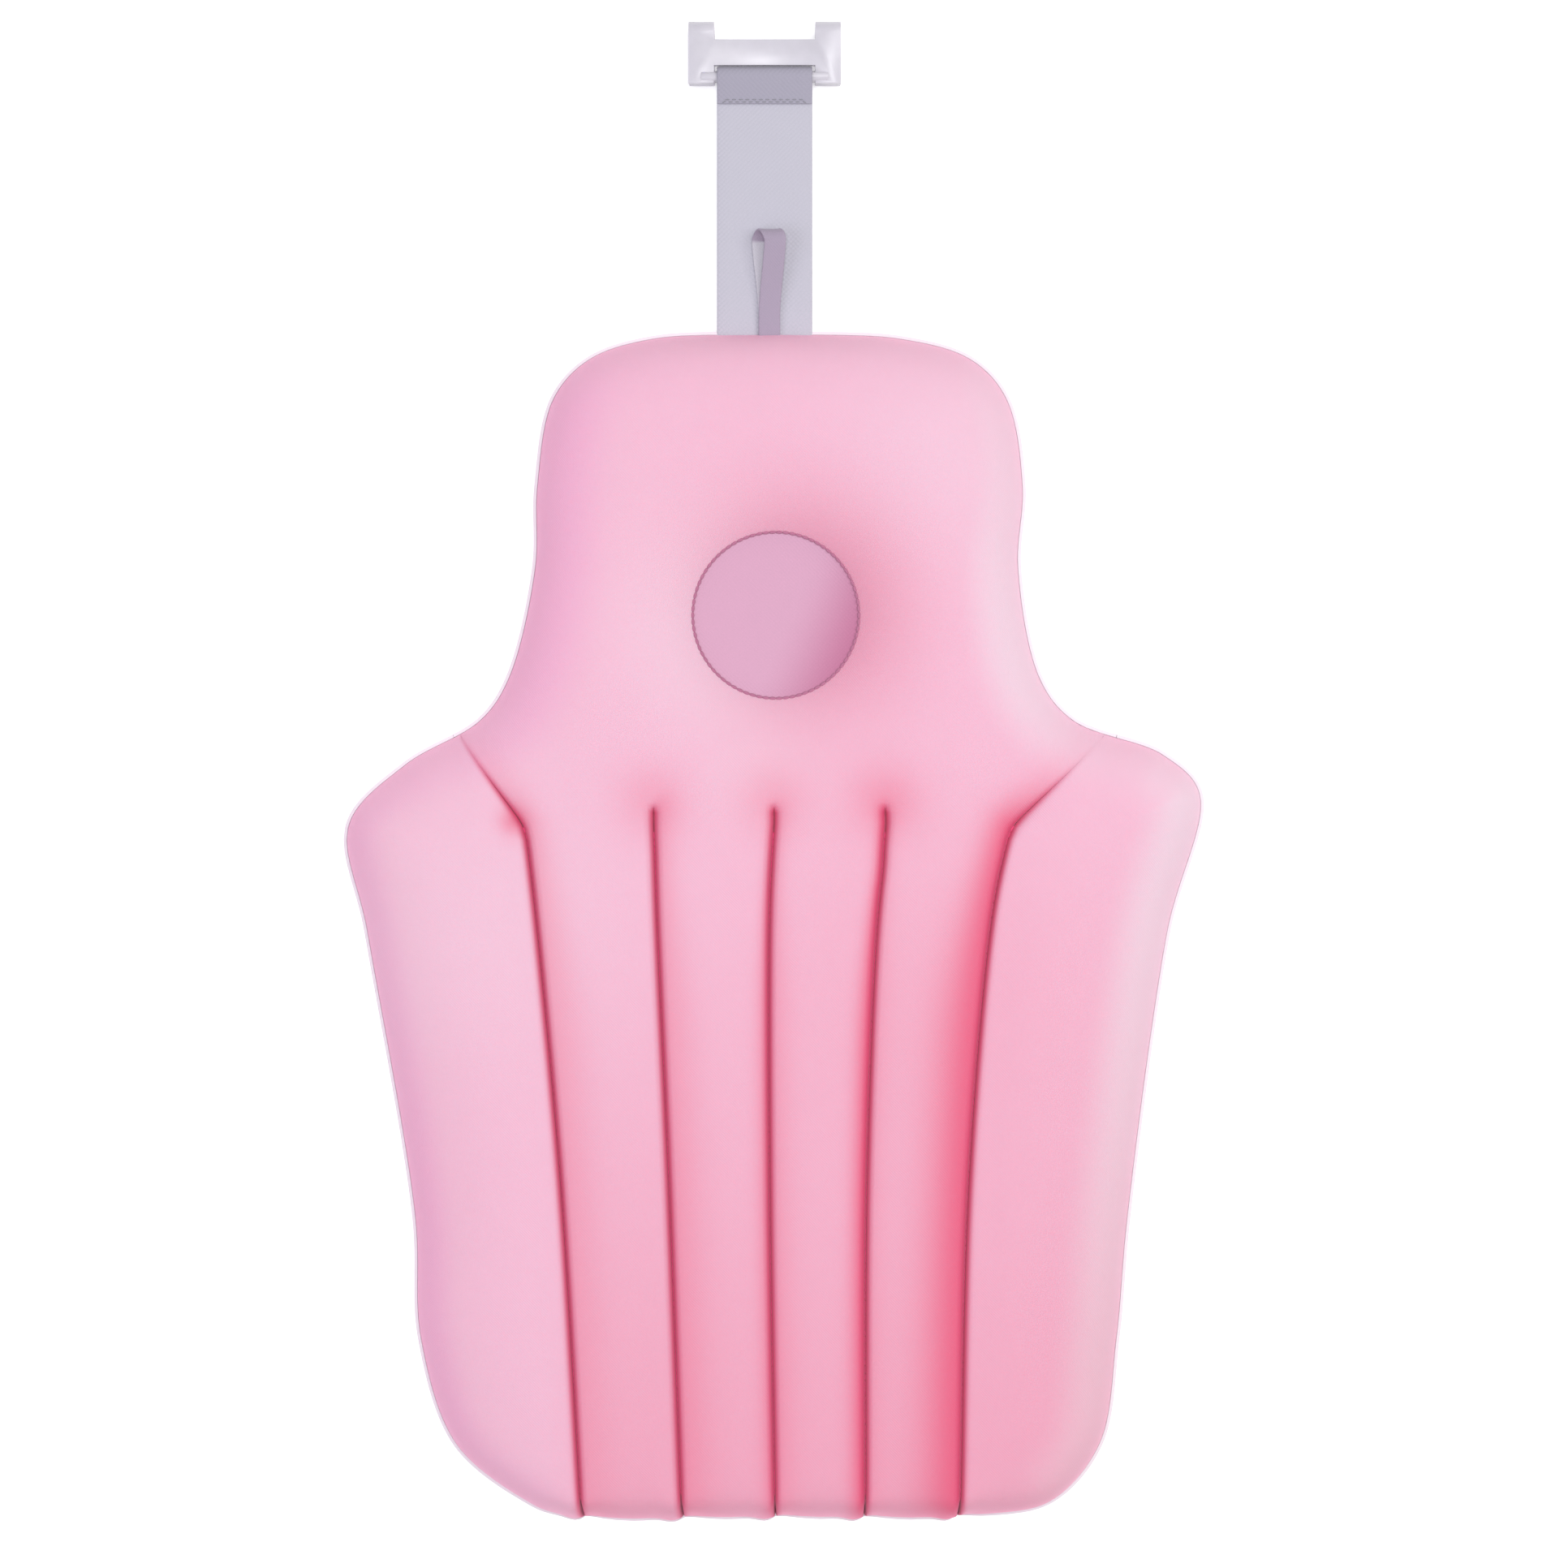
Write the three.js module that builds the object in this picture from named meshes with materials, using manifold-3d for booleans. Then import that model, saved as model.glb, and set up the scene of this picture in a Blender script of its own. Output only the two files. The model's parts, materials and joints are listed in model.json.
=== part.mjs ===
// Bath pillow with a head rest, four padded channels, two side wings and a strap with a rim hook.
// Sizes are millimetres. X runs across the pillow, Y along it towards the hook, Z up from its back.
// The origin is on the back face, on the centre line, midway along the padded part.
import * as THREE from "three";
import { mergeVertices } from "three/addons/utils/BufferGeometryUtils.js";
import Module from "manifold-3d";

const wasm = await Module();
wasm.setup();

// Padded body in plan: half widths from the centre line, drops measured down from the top edge
const PAD_LENGTH = 498;
const HEAD_HALF_WIDTH = 103;
const NECK_HALF_WIDTH = 102.5;
const SHOULDER_HALF_WIDTH = 179.5;
const WAIST_HALF_WIDTH = 150.5;
const HEM_HALF_WIDTH = 147;
const HEAD_DROP = 65;
const NECK_DROP = 99;
const SHOULDER_DROP = 200;
const SHOULDER_TILT = 6.5;
const SHOULDER_TOP_TILT = 2.2;
const WAIST_DROP = 371;
const HEM_CORNER_HEIGHT = 76;

// Rounded corners in plan: each point is set in from the half width next to it, and down or up from the end
const HEAD_FLAT_INSET = 50.5;
const HEAD_FLAT_DROP = 2;
const HEAD_CORNER_INSET = 22;
const HEAD_CORNER_DROP = 11;
const TEMPLE_INSET = 6.8;
const TEMPLE_DROP = 28;
const NECK_FLARE = 10;
const NECK_FLARE_RISE = 55;
const ARMPIT_FLARE = 22.5;
const ARMPIT_RISE = 38;
const SHOULDER_INSET = 20;
const SHOULDER_RISE = 21.5;
const FLANK_INSET = 10.7;
const FLANK_FALL = 52;
const HEM_SIDE_INSET = 11;
const HEM_SIDE_RISE = 31.5;
const HEM_CORNER_INSET = 35.5;
const HEM_CORNER_RISE = 7.7;
const HEM_FLAT_INSET = 57;
const HEM_FLAT_RISE = 1.2;

// The pad isn't quite symmetrical: how far each level sits to the right of the centre line
const HEAD_LEAN = 2.4;
const NECK_LEAN = 1;
const SHOULDER_LEAN = 4;
const FLANK_LEAN = -2.9;
const WAIST_LEAN = -1.2;
const HEM_LEAN = -2.3;
const HEM_SIDE_LEAN = 1.5;
const HEM_CORNER_LEAN = 6;

// Seams in plan: the wing seam runs from a notch in the outline, round a kink and down to the hem
const NOTCH_DROP = 169;
const KINK_HALF_WIDTH = 101;
const KINK_DROP = 208;
const SEAM_MIDDLE_HALF_WIDTH = 85.5;
const SEAM_FOOT_HALF_WIDTH = 78;
const KINK_LEAN = -2.6;
const SEAM_MIDDLE_LEAN = -3.9;
const SEAM_FOOT_LEAN = -1.3;
const CHANNEL_DROP = 201;
const CHANNEL_SHARES = [0.265, 0.512, 0.75];

// Padding heights above the back, and how softly the cloth rises from each kind of seam
const CROWN_HEIGHT = 47;
const EDGE_HEIGHT = 20;
const CHANNEL_SEAM_HEIGHT = 14;
const EDGE_SOFTNESS = 15;
const CHANNEL_SOFTNESS = 5;
const WING_SEAM_SOFTNESS = 12;
const RECESS_SOFTNESS = 20;
const BACK_EDGE_RADIUS = 22;
const PINCH_LENGTH = 8;
const SWELL_POWER = 4;

// Cloth, thread and the clearance left between pieces that touch
const COVER_THICKNESS = 1.5;
const THREAD_RADIUS = 0.8;
const CLEARANCE = 0.3;
const THREAD_CLEARANCE = 0.4;
const FILLING_CLEARANCE = 0.8;
const FILLING_GAP = 0.8;

// Round recess in the head section
const RECESS_DIAMETER = 69;
const RECESS_DROP = 119.5;
const RECESS_OFFSET = 0.7;
const RECESS_RIM_HEIGHT = 31;
const RECESS_DISH_DEPTH = 4;
const DISH_POWER = 4;
const DISH_STATIONS = [0, 0.5, 0.75, 0.9, 1];

// Strap, drying loop and the ends sewn into the top seam
const STRAP_WIDTH = 40;
const STRAP_THICKNESS = 1.6;
const STRAP_OFFSET = -4;
const STRAP_REACH = 106.5;
const STRAP_FLAP = 11.5;
const FLAP_PARTING = 2.3;
const STRAP_FOLD_STANDOFF = 2.6;
const SEWN_END = 12;
const TACK_LENGTH = 34;
const TACK_WIDTH = 1.6;
const TACK_HEIGHT = 0.6;
const LOOP_WIDTH = 9;
const LOOP_THICKNESS = 1;
const LOOP_OFFSET = -2;
const LOOP_REACH = 42;
const LOOP_TIP_RADIUS = 4.9;
const LOOP_APEX_LIFT = 0.2;

// Rim hook: two arms that turn back into prongs, a crossbar, and a round bar inside the strap
const HOOK_WIDTH = 64;
const HOOK_ARM_WIDTH = 10.8;
const HOOK_PLATE = 3.6;
const HOOK_TOP_ABOVE_BAR = 23.7;
const HOOK_FOOT_BELOW_BAR = 2.8;
const HOOK_CROSSBAR = 10.8;
const HOOK_BAR_RADIUS = 2.5;
const HOOK_OUTER_CORNER = 5;
const HOOK_INNER_CORNER = 1.2;
const PRONG_LENGTH = 24;

// Worked-out levels
const TOP = PAD_LENGTH / 2;
const HEM = -PAD_LENGTH / 2;
const SEAM_SETBACK = THREAD_RADIUS + THREAD_CLEARANCE;
const SEAM_HEIGHT = 2 * COVER_THICKNESS + CLEARANCE;
const FILL_INSET = COVER_THICKNESS + FILLING_CLEARANCE;
const RECESS_RADIUS = RECESS_DIAMETER / 2;
const RECESS_Y = TOP - RECESS_DROP;
const FOLD_Y = TOP + STRAP_FOLD_STANDOFF;
const BAR_Y = TOP + STRAP_REACH;
const STRAP_UNDERSIDE = EDGE_HEIGHT - STRAP_THICKNESS / 2;
const STRAP_FACE = EDGE_HEIGHT + STRAP_THICKNESS / 2;
const LOOP_UNDERSIDE = STRAP_FACE + CLEARANCE;

// Mesh counts: enough rows and columns for the padded forms to read
const HEAD_ROWS = 10;
const HEAD_ROW_CROWDING = 1.5;
const BODY_ROWS = 8;
const SHOULDER_ROW_DROPS = [4, 15, 27];
const CHANNEL_STATIONS = [0, 0.06, 0.2, 0.5, 0.8, 0.94, 1];
const WING_STATIONS = [0, 0.08, 0.17, 0.3, 0.48, 0.66, 0.84, 0.95, 1];
const TOP_ROW_DROP = 0.4;
const HEM_ROW_RISE = 0.6;
const WING_ROW_RISE = 3;
const OUTLINE_STEPS = 90;
const ROUND_STEPS = 36;
const SMALL_ROUND_STEPS = 8;
const THREAD_LEAD = 0.08;
const THREAD_THINNING = 5;
const TINY = 1e-6;
const UP = new THREE.Vector3(0, 0, 1);

const MATERIALS = {
  frontCloth: { color: 0xf5bdd5, roughness: 0.9, metalness: 0 },
  recessCloth: { color: 0xebb6d4, roughness: 0.85, metalness: 0 },
  backCloth: { color: 0xe3d3dd, roughness: 0.9, metalness: 0 },
  filling: { color: 0xf4f2ef, roughness: 1, metalness: 0 },
  seamThread: { color: 0xb54a6e, roughness: 0.8, metalness: 0 },
  webbing: { color: 0xccccd8, roughness: 0.85, metalness: 0 },
  loopTape: { color: 0xb2a3ba, roughness: 0.85, metalness: 0 },
  hookPlastic: { color: 0xeceaf0, roughness: 0.35, metalness: 0 },
};

const assembly = new THREE.Group();
assembly.name = "bath_pillow";

function addPart(name, geometry, material) {
  const mesh = new THREE.Mesh(geometry, new THREE.MeshStandardMaterial(MATERIALS[material]));
  mesh.name = name;
  assembly.add(mesh);
}

// Plain helpers for lines in plan
function smoothLine(points, steps) {
  const corners = points.map(([x, y]) => new THREE.Vector3(x, y, 0));
  return new THREE.CatmullRomCurve3(corners, false, "centripetal").getPoints(steps);
}

function xAt(line, y) {
  const next = line.findIndex((point) => point.y <= y);
  if (next === 0) return line[0].x;
  if (next < 0) return line.at(-1).x;
  const [above, below] = [line[next - 1], line[next]];
  return above.x + ((below.x - above.x) * (above.y - y)) / (above.y - below.y);
}

function distanceTo(line, x, y) {
  let nearest = Infinity;
  for (let i = 1; i < line.length; i++) {
    const [a, b] = [line[i - 1], line[i]];
    const [dx, dy] = [b.x - a.x, b.y - a.y];
    const along = ((x - a.x) * dx + (y - a.y) * dy) / (dx * dx + dy * dy);
    const t = Math.min(1, Math.max(0, along));
    nearest = Math.min(nearest, Math.hypot(x - a.x - t * dx, y - a.y - t * dy));
  }
  return nearest;
}

function shiftedLine(line, distance) {
  return line.map((point, i) => {
    const ahead = line[Math.min(i + 1, line.length - 1)];
    const behind = line[Math.max(i - 1, 0)];
    const run = Math.hypot(ahead.x - behind.x, ahead.y - behind.y);
    const across = new THREE.Vector3(behind.y - ahead.y, ahead.x - behind.x, 0);
    return point.clone().addScaledVector(across, distance / run);
  });
}

// Outline of one side, from the middle of the top edge to the middle of the hem
function sideOutline(side) {
  // Half width, drop, lean to the right, and how far the right side stands above the left
  const stations = [
    [0, 0, 0, 0],
    [HEAD_HALF_WIDTH - HEAD_FLAT_INSET, HEAD_FLAT_DROP, NECK_LEAN, 0],
    [HEAD_HALF_WIDTH - HEAD_CORNER_INSET, HEAD_CORNER_DROP, HEAD_LEAN, 0],
    [HEAD_HALF_WIDTH - TEMPLE_INSET, TEMPLE_DROP, HEAD_LEAN, 0],
    [HEAD_HALF_WIDTH, HEAD_DROP, HEAD_LEAN, 0],
    [NECK_HALF_WIDTH, NECK_DROP, NECK_LEAN, 0],
    [NECK_HALF_WIDTH + NECK_FLARE, SHOULDER_DROP - NECK_FLARE_RISE, 0, 0],
    [NECK_HALF_WIDTH + ARMPIT_FLARE, SHOULDER_DROP - ARMPIT_RISE, NECK_LEAN, 0],
    [SHOULDER_HALF_WIDTH - SHOULDER_INSET, SHOULDER_DROP - SHOULDER_RISE, SHOULDER_LEAN, SHOULDER_TOP_TILT],
    [SHOULDER_HALF_WIDTH, SHOULDER_DROP, 0, SHOULDER_TILT],
    [SHOULDER_HALF_WIDTH - FLANK_INSET, SHOULDER_DROP + FLANK_FALL, FLANK_LEAN, 0],
    [WAIST_HALF_WIDTH, WAIST_DROP, WAIST_LEAN, 0],
    [HEM_HALF_WIDTH, PAD_LENGTH - HEM_CORNER_HEIGHT, HEM_LEAN, 0],
    [HEM_HALF_WIDTH - HEM_SIDE_INSET, PAD_LENGTH - HEM_SIDE_RISE, HEM_SIDE_LEAN, 0],
    [HEM_HALF_WIDTH - HEM_CORNER_INSET, PAD_LENGTH - HEM_CORNER_RISE, HEM_CORNER_LEAN, 0],
    [HEM_HALF_WIDTH - HEM_FLAT_INSET, PAD_LENGTH - HEM_FLAT_RISE, 0, 0],
    [0, PAD_LENGTH, 0, 0],
  ];
  const points = stations.map(([half, drop, lean, rise]) => [side * half + lean, TOP - drop + side * rise]);
  return smoothLine(points, OUTLINE_STEPS);
}

// Wing seam of one side, and the cut edges of the two panels that meet along it
function wingSeam(side, outline) {
  const notchY = TOP - NOTCH_DROP;
  const notch = new THREE.Vector3(xAt(outline, notchY), notchY, 0);
  const lower = smoothLine(
    [
      [side * KINK_HALF_WIDTH + KINK_LEAN, TOP - KINK_DROP],
      [side * SEAM_MIDDLE_HALF_WIDTH + SEAM_MIDDLE_LEAN, TOP - (KINK_DROP + PAD_LENGTH) / 2],
      [side * SEAM_FOOT_HALF_WIDTH + SEAM_FOOT_LEAN, HEM],
    ],
    ROUND_STEPS,
  );
  const line = [notch, ...lower];
  return {
    line,
    centreEdge: shiftedLine(line, -side * SEAM_SETBACK),
    wingEdge: shiftedLine(line, side * SEAM_SETBACK),
  };
}

const outlines = { left: sideOutline(-1), right: sideOutline(1) };
const wingSeams = { left: wingSeam(-1, outlines.left), right: wingSeam(1, outlines.right) };
const wholeOutline = [...outlines.left, ...outlines.right.slice(0, -1).reverse()];

function centreEdgeX(side, y) {
  return y >= TOP - NOTCH_DROP ? xAt(outlines[side], y) : xAt(wingSeams[side].centreEdge, y);
}

function channelX(share, y) {
  const left = centreEdgeX("left", y);
  return left + share * (centreEdgeX("right", y) - left);
}

// Rows of the panel meshes, closer together towards the top edge and the hem
const headLevels = Array.from({ length: HEAD_ROWS }, (_, i) => {
  return TOP - Math.max(TOP_ROW_DROP, NOTCH_DROP * (i / HEAD_ROWS) ** HEAD_ROW_CROWDING);
});
const shoulderLevels = SHOULDER_ROW_DROPS.map((drop) => TOP - NOTCH_DROP - drop);
const bodyLevels = Array.from({ length: BODY_ROWS + 1 }, (_, i) => {
  const run = PAD_LENGTH - KINK_DROP - HEM_ROW_RISE;
  return TOP - KINK_DROP - run * Math.sin((i / BODY_ROWS) * (Math.PI / 2));
});
const centreLevels = [...headLevels, TOP - NOTCH_DROP, ...shoulderLevels, ...bodyLevels];
const wingLevels = [...shoulderLevels, ...bodyLevels.slice(0, -1), HEM + WING_ROW_RISE];

// Channel seams, from their tops to the hem
const channelLines = CHANNEL_SHARES.map((share) => {
  const levels = [TOP - CHANNEL_DROP, ...bodyLevels];
  return levels.map((y) => new THREE.Vector3(channelX(share, y), y, 0));
});

// Padded surfaces: the cloth stands at a known height along each sewn line and swells away from it
function innerSeamDistance(x, y) {
  const seams = [wingSeams.left.line, wingSeams.right.line, ...channelLines];
  const nearest = Math.min(...seams.map((line) => distanceTo(line, x, y)));
  return Math.max(0, nearest - SEAM_SETBACK);
}

function pinch(x, y) {
  return 1 - Math.exp(-innerSeamDistance(x, y) / PINCH_LENGTH);
}

function sewnLine(line, height, softness) {
  return { distance: (x, y) => distanceTo(line, x, y) - SEAM_SETBACK, height: () => height, softness };
}

function frontEdgeHeight(x, y) {
  return SEAM_HEIGHT + (EDGE_HEIGHT - SEAM_HEIGHT) * pinch(x, y);
}

function backEdgeHeight(x, y) {
  return (EDGE_HEIGHT - CLEARANCE) * pinch(x, y);
}

const sewnLines = [
  {
    distance: (x, y) => distanceTo(wholeOutline, x, y),
    height: frontEdgeHeight,
    softness: EDGE_SOFTNESS,
  },
  sewnLine(wingSeams.left.line, SEAM_HEIGHT, WING_SEAM_SOFTNESS),
  sewnLine(wingSeams.right.line, SEAM_HEIGHT, WING_SEAM_SOFTNESS),
  ...channelLines.map((line) => sewnLine(line, CHANNEL_SEAM_HEIGHT, CHANNEL_SOFTNESS)),
  {
    distance: (x, y) => Math.hypot(x - RECESS_OFFSET, y - RECESS_Y) - RECESS_RADIUS,
    height: () => RECESS_RIM_HEIGHT,
    softness: RECESS_SOFTNESS,
  },
];

function frontHeight(x, y) {
  let [weights, heights, closeness] = [0, 0, 0];
  for (const seam of sewnLines) {
    const distance = Math.max(TINY, seam.distance(x, y));
    weights += distance ** -2;
    heights += seam.height(x, y) * distance ** -2;
    closeness += (seam.softness / distance) ** 2;
  }
  const base = heights / weights;
  const rise = 1 / Math.sqrt(closeness);
  const fullness = rise / (1 + rise ** SWELL_POWER) ** (1 / SWELL_POWER);
  return base + (CROWN_HEIGHT - base) * fullness;
}

function backHeight(x, y) {
  const toEdge = Math.max(0, 1 - distanceTo(wholeOutline, x, y) / BACK_EDGE_RADIUS);
  return backEdgeHeight(x, y) * (1 - Math.sqrt(1 - toEdge ** 2));
}

// Panel grids: rows run down the pillow, columns from left to right
function stripColumns(from, to, stations) {
  return stations.map((station) => from + station * (to - from));
}

function centreRow(y) {
  const seams = CHANNEL_SHARES.map((share) => channelX(share, y));
  const starts = [centreEdgeX("left", y), ...seams.map((x) => x + SEAM_SETBACK)];
  const ends = [...seams.map((x) => x - SEAM_SETBACK), centreEdgeX("right", y)];
  return starts.flatMap((start, i) => stripColumns(start, ends[i], CHANNEL_STATIONS));
}

function wingRow(side, y) {
  const [inner, outer] = [xAt(wingSeams[side].wingEdge, y), xAt(outlines[side], y)];
  const columns = stripColumns(inner, outer, WING_STATIONS);
  return side === "left" ? columns.reverse() : columns;
}

// Steps round the border of a grid, clockwise from above, as row and column numbers
function borderOf(grid) {
  const [lastRow, lastColumn] = [grid.length - 1, grid[0].length - 1];
  const border = [];
  for (let c = 0; c < lastColumn; c++) border.push([0, c]);
  for (let r = 0; r < lastRow; r++) border.push([r, lastColumn]);
  for (let c = lastColumn; c > 0; c--) border.push([lastRow, c]);
  for (let r = lastRow; r > 0; r--) border.push([r, 0]);
  return border;
}

function surface(levels, rowAt, heightAt, edgeHeightAt) {
  const grid = levels.map((y) => rowAt(y).map((x) => new THREE.Vector3(x, y, heightAt(x, y))));
  for (const [r, c] of borderOf(grid)) grid[r][c].z = edgeHeightAt(grid[r][c].x, grid[r][c].y);
  return grid;
}

// The same grid moved into the pad: along its normal, upright by a seam, square to the edge at the border
function insetSurface(grid, amount, towards) {
  const moved = grid.map((row) => row.map((point) => point.clone()));
  for (let r = 1; r < grid.length - 1; r++) {
    for (let c = 1; c < grid[r].length - 1; c++) {
      const across = grid[r][c + 1].clone().sub(grid[r][c - 1]);
      const along = grid[r - 1][c].clone().sub(grid[r + 1][c]);
      const share = pinch(grid[r][c].x, grid[r][c].y);
      const normal = across.cross(along).normalize().lerp(UP, 1 - share).normalize();
      moved[r][c].addScaledVector(normal, towards * amount);
    }
  }
  const border = borderOf(grid);
  border.forEach(([r, c], i) => {
    const [nextRow, nextColumn] = border[(i + 1) % border.length];
    const [lastRow, lastColumn] = border.at(i - 1);
    const along = grid[nextRow][nextColumn].clone().sub(grid[lastRow][lastColumn]);
    const inward = new THREE.Vector3(along.y, -along.x, 0).normalize();
    const share = pinch(grid[r][c].x, grid[r][c].y);
    moved[r][c].addScaledVector(inward, amount * share);
    moved[r][c].z += towards * amount * (1 - share);
  });
  return moved;
}

// Closed solid between an upper and a lower grid of the same shape
function solidBetween(upper, lower) {
  const columns = upper[0].length;
  const lowerStart = upper.length * columns;
  const positions = [...upper, ...lower].flat().flatMap((point) => point.toArray());
  const index = [];
  for (let r = 0; r < upper.length - 1; r++) {
    for (let c = 0; c < columns - 1; c++) {
      const [a, b] = [r * columns + c, (r + 1) * columns + c];
      index.push(a, b, b + 1, a, b + 1, a + 1);
      index.push(lowerStart + a, lowerStart + b + 1, lowerStart + b);
      index.push(lowerStart + a, lowerStart + a + 1, lowerStart + b + 1);
    }
  }
  const border = borderOf(upper).map(([r, c]) => r * columns + c);
  border.forEach((a, i) => {
    const b = border[(i + 1) % border.length];
    index.push(a, b, lowerStart + b, a, lowerStart + b, lowerStart + a);
  });
  const geometry = new THREE.BufferGeometry();
  geometry.setAttribute("position", new THREE.Float32BufferAttribute(positions, 3));
  geometry.setIndex(index);
  return geometry;
}

function patch(grid, rows, columns) {
  return grid.slice(rows[0], rows[1] + 1).map((row) => row.slice(columns[0], columns[1] + 1));
}

// Joining and cutting closed solids
function toManifold(geometry) {
  const plain = geometry.clone();
  plain.deleteAttribute("normal");
  plain.deleteAttribute("uv");
  const welded = mergeVertices(plain, 1e-4);
  const vertProperties = new Float32Array(welded.attributes.position.array);
  const triVerts = new Uint32Array(welded.index.array);
  return new wasm.Manifold(new wasm.Mesh({ numProp: 3, vertProperties, triVerts }));
}

function fromManifold(solid) {
  const mesh = solid.getMesh();
  const geometry = new THREE.BufferGeometry();
  geometry.setAttribute("position", new THREE.Float32BufferAttribute(mesh.vertProperties, 3));
  geometry.setIndex(Array.from(mesh.triVerts));
  return geometry;
}

function cutFrom(geometry, ...tools) {
  const solid = tools.reduce((rest, tool) => rest.subtract(toManifold(tool)), toManifold(geometry));
  return fromManifold(solid);
}

function joined(...geometries) {
  return fromManifold(geometries.map(toManifold).reduce((whole, piece) => whole.add(piece)));
}

function box(from, to) {
  const size = to.map((value, i) => value - from[i]);
  const middle = to.map((value, i) => (value + from[i]) / 2);
  return new THREE.BoxGeometry(...size).translate(...middle);
}

function uprightCylinder(radius, from, to) {
  const cylinder = new THREE.CylinderGeometry(radius, radius, to - from, ROUND_STEPS);
  return cylinder.rotateX(Math.PI / 2).translate(RECESS_OFFSET, RECESS_Y, (from + to) / 2);
}

// A side-on outline in Y and Z, given thickness across the pillow
function acrossPillow(shape, fromX, width) {
  const settings = { depth: width, bevelEnabled: false, curveSegments: SMALL_ROUND_STEPS };
  const turned = new THREE.Matrix4().makeBasis(
    new THREE.Vector3(0, 1, 0),
    new THREE.Vector3(0, 0, 1),
    new THREE.Vector3(1, 0, 0),
  );
  return new THREE.ExtrudeGeometry(shape, settings).applyMatrix4(turned).translate(fromX, 0, 0);
}

// Angle round a circle at which a straight line from a point outside touches it
function touchAngle(centre, radius, from, turn) {
  const away = Math.atan2(from[1] - centre[1], from[0] - centre[0]);
  const reach = Math.hypot(from[0] - centre[0], from[1] - centre[1]);
  return away + turn * Math.acos(radius / reach);
}

// Round end of a folded band: a straight leg in, round the circle, and a straight leg out
function roundEnd(path, centre, radius, from, to) {
  const start = touchAngle(centre, radius, from, 1);
  const end = touchAngle(centre, radius, to, -1);
  path.absarc(centre[0], centre[1], radius, start, end, false);
}

function teardropHole(centre, radius, apex) {
  const hole = new THREE.Path();
  roundEnd(hole, centre, radius, apex, apex);
  hole.lineTo(...apex);
  hole.closePath();
  return hole;
}

// Seam pockets that take the sewn-in ends of the strap and the drying loop
const strapX = [STRAP_OFFSET - STRAP_WIDTH / 2, STRAP_OFFSET + STRAP_WIDTH / 2];
const loopX = [LOOP_OFFSET - LOOP_WIDTH / 2, LOOP_OFFSET + LOOP_WIDTH / 2];
const loopTop = LOOP_UNDERSIDE + 2 * LOOP_THICKNESS;

function sewnEnd(acrossX, bottom, top, margin) {
  const outerEnd = FOLD_Y - (top - bottom) / 2 - 2 * CLEARANCE;
  return box(
    [acrossX[0] - margin, TOP - SEWN_END - margin, bottom - margin],
    [acrossX[1] + margin, outerEnd + margin, top + margin],
  );
}

const seamPockets = [
  sewnEnd(strapX, STRAP_UNDERSIDE, STRAP_FACE, CLEARANCE),
  sewnEnd(loopX, LOOP_UNDERSIDE, loopTop, CLEARANCE),
];

// Centre of the pad: covers, head filling and four channel fillings
function addCentre() {
  const front = surface(centreLevels, centreRow, frontHeight, frontEdgeHeight);
  const back = surface(centreLevels, centreRow, backHeight, backEdgeHeight);
  const frontInside = insetSurface(front, COVER_THICKNESS, -1);
  const backInside = insetSurface(back, COVER_THICKNESS, 1);
  const hole = uprightCylinder(RECESS_RADIUS + SEAM_SETBACK, 0, 2 * CROWN_HEIGHT);
  const frontCover = solidBetween(front, frontInside);
  const backCover = solidBetween(backInside, back);
  addPart("centre_front_cover", cutFrom(frontCover, hole, ...seamPockets), "frontCloth");
  addPart("centre_back_cover", cutFrom(backCover, ...seamPockets), "backCloth");

  const fillTop = insetSurface(front, FILL_INSET, -1);
  const fillFloor = insetSurface(back, FILL_INSET, 1);
  const lastColumn = front[0].length - 1;
  const splitRow = HEAD_ROWS + SHOULDER_ROW_DROPS.length;
  const headRows = [1, splitRow];
  const headColumns = [1, lastColumn - 1];
  const dishFloor = RECESS_RIM_HEIGHT - RECESS_DISH_DEPTH - COVER_THICKNESS - CLEARANCE;
  const threadFloor = RECESS_RIM_HEIGHT - THREAD_RADIUS - CLEARANCE;
  const dishPocket = uprightCylinder(RECESS_RADIUS - SEAM_SETBACK + CLEARANCE, dishFloor, 2 * CROWN_HEIGHT);
  const threadPocket = uprightCylinder(RECESS_RADIUS + SEAM_SETBACK, threadFloor, 2 * CROWN_HEIGHT);
  const head = solidBetween(patch(fillTop, headRows, headColumns), patch(fillFloor, headRows, headColumns));
  addPart("head_filling", cutFrom(head, dishPocket, threadPocket, ...seamPockets), "filling");

  const rollRows = [splitRow, front.length - 2];
  const perChannel = CHANNEL_STATIONS.length;
  for (let i = 0; i <= CHANNEL_SHARES.length; i++) {
    const columns = [i * perChannel + 1, (i + 1) * perChannel - 2];
    const [upper, lower] = [fillTop, fillFloor].map((grid) => {
      const rows = patch(grid, rollRows, columns);
      const gap = FILLING_GAP / (rows[0][0].y - rows[1][0].y);
      rows[0] = rows[0].map((point, c) => point.clone().lerp(rows[1][c], gap));
      return rows;
    });
    addPart(`channel_filling_${i + 1}`, solidBetween(upper, lower), "filling");
  }
}

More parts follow.
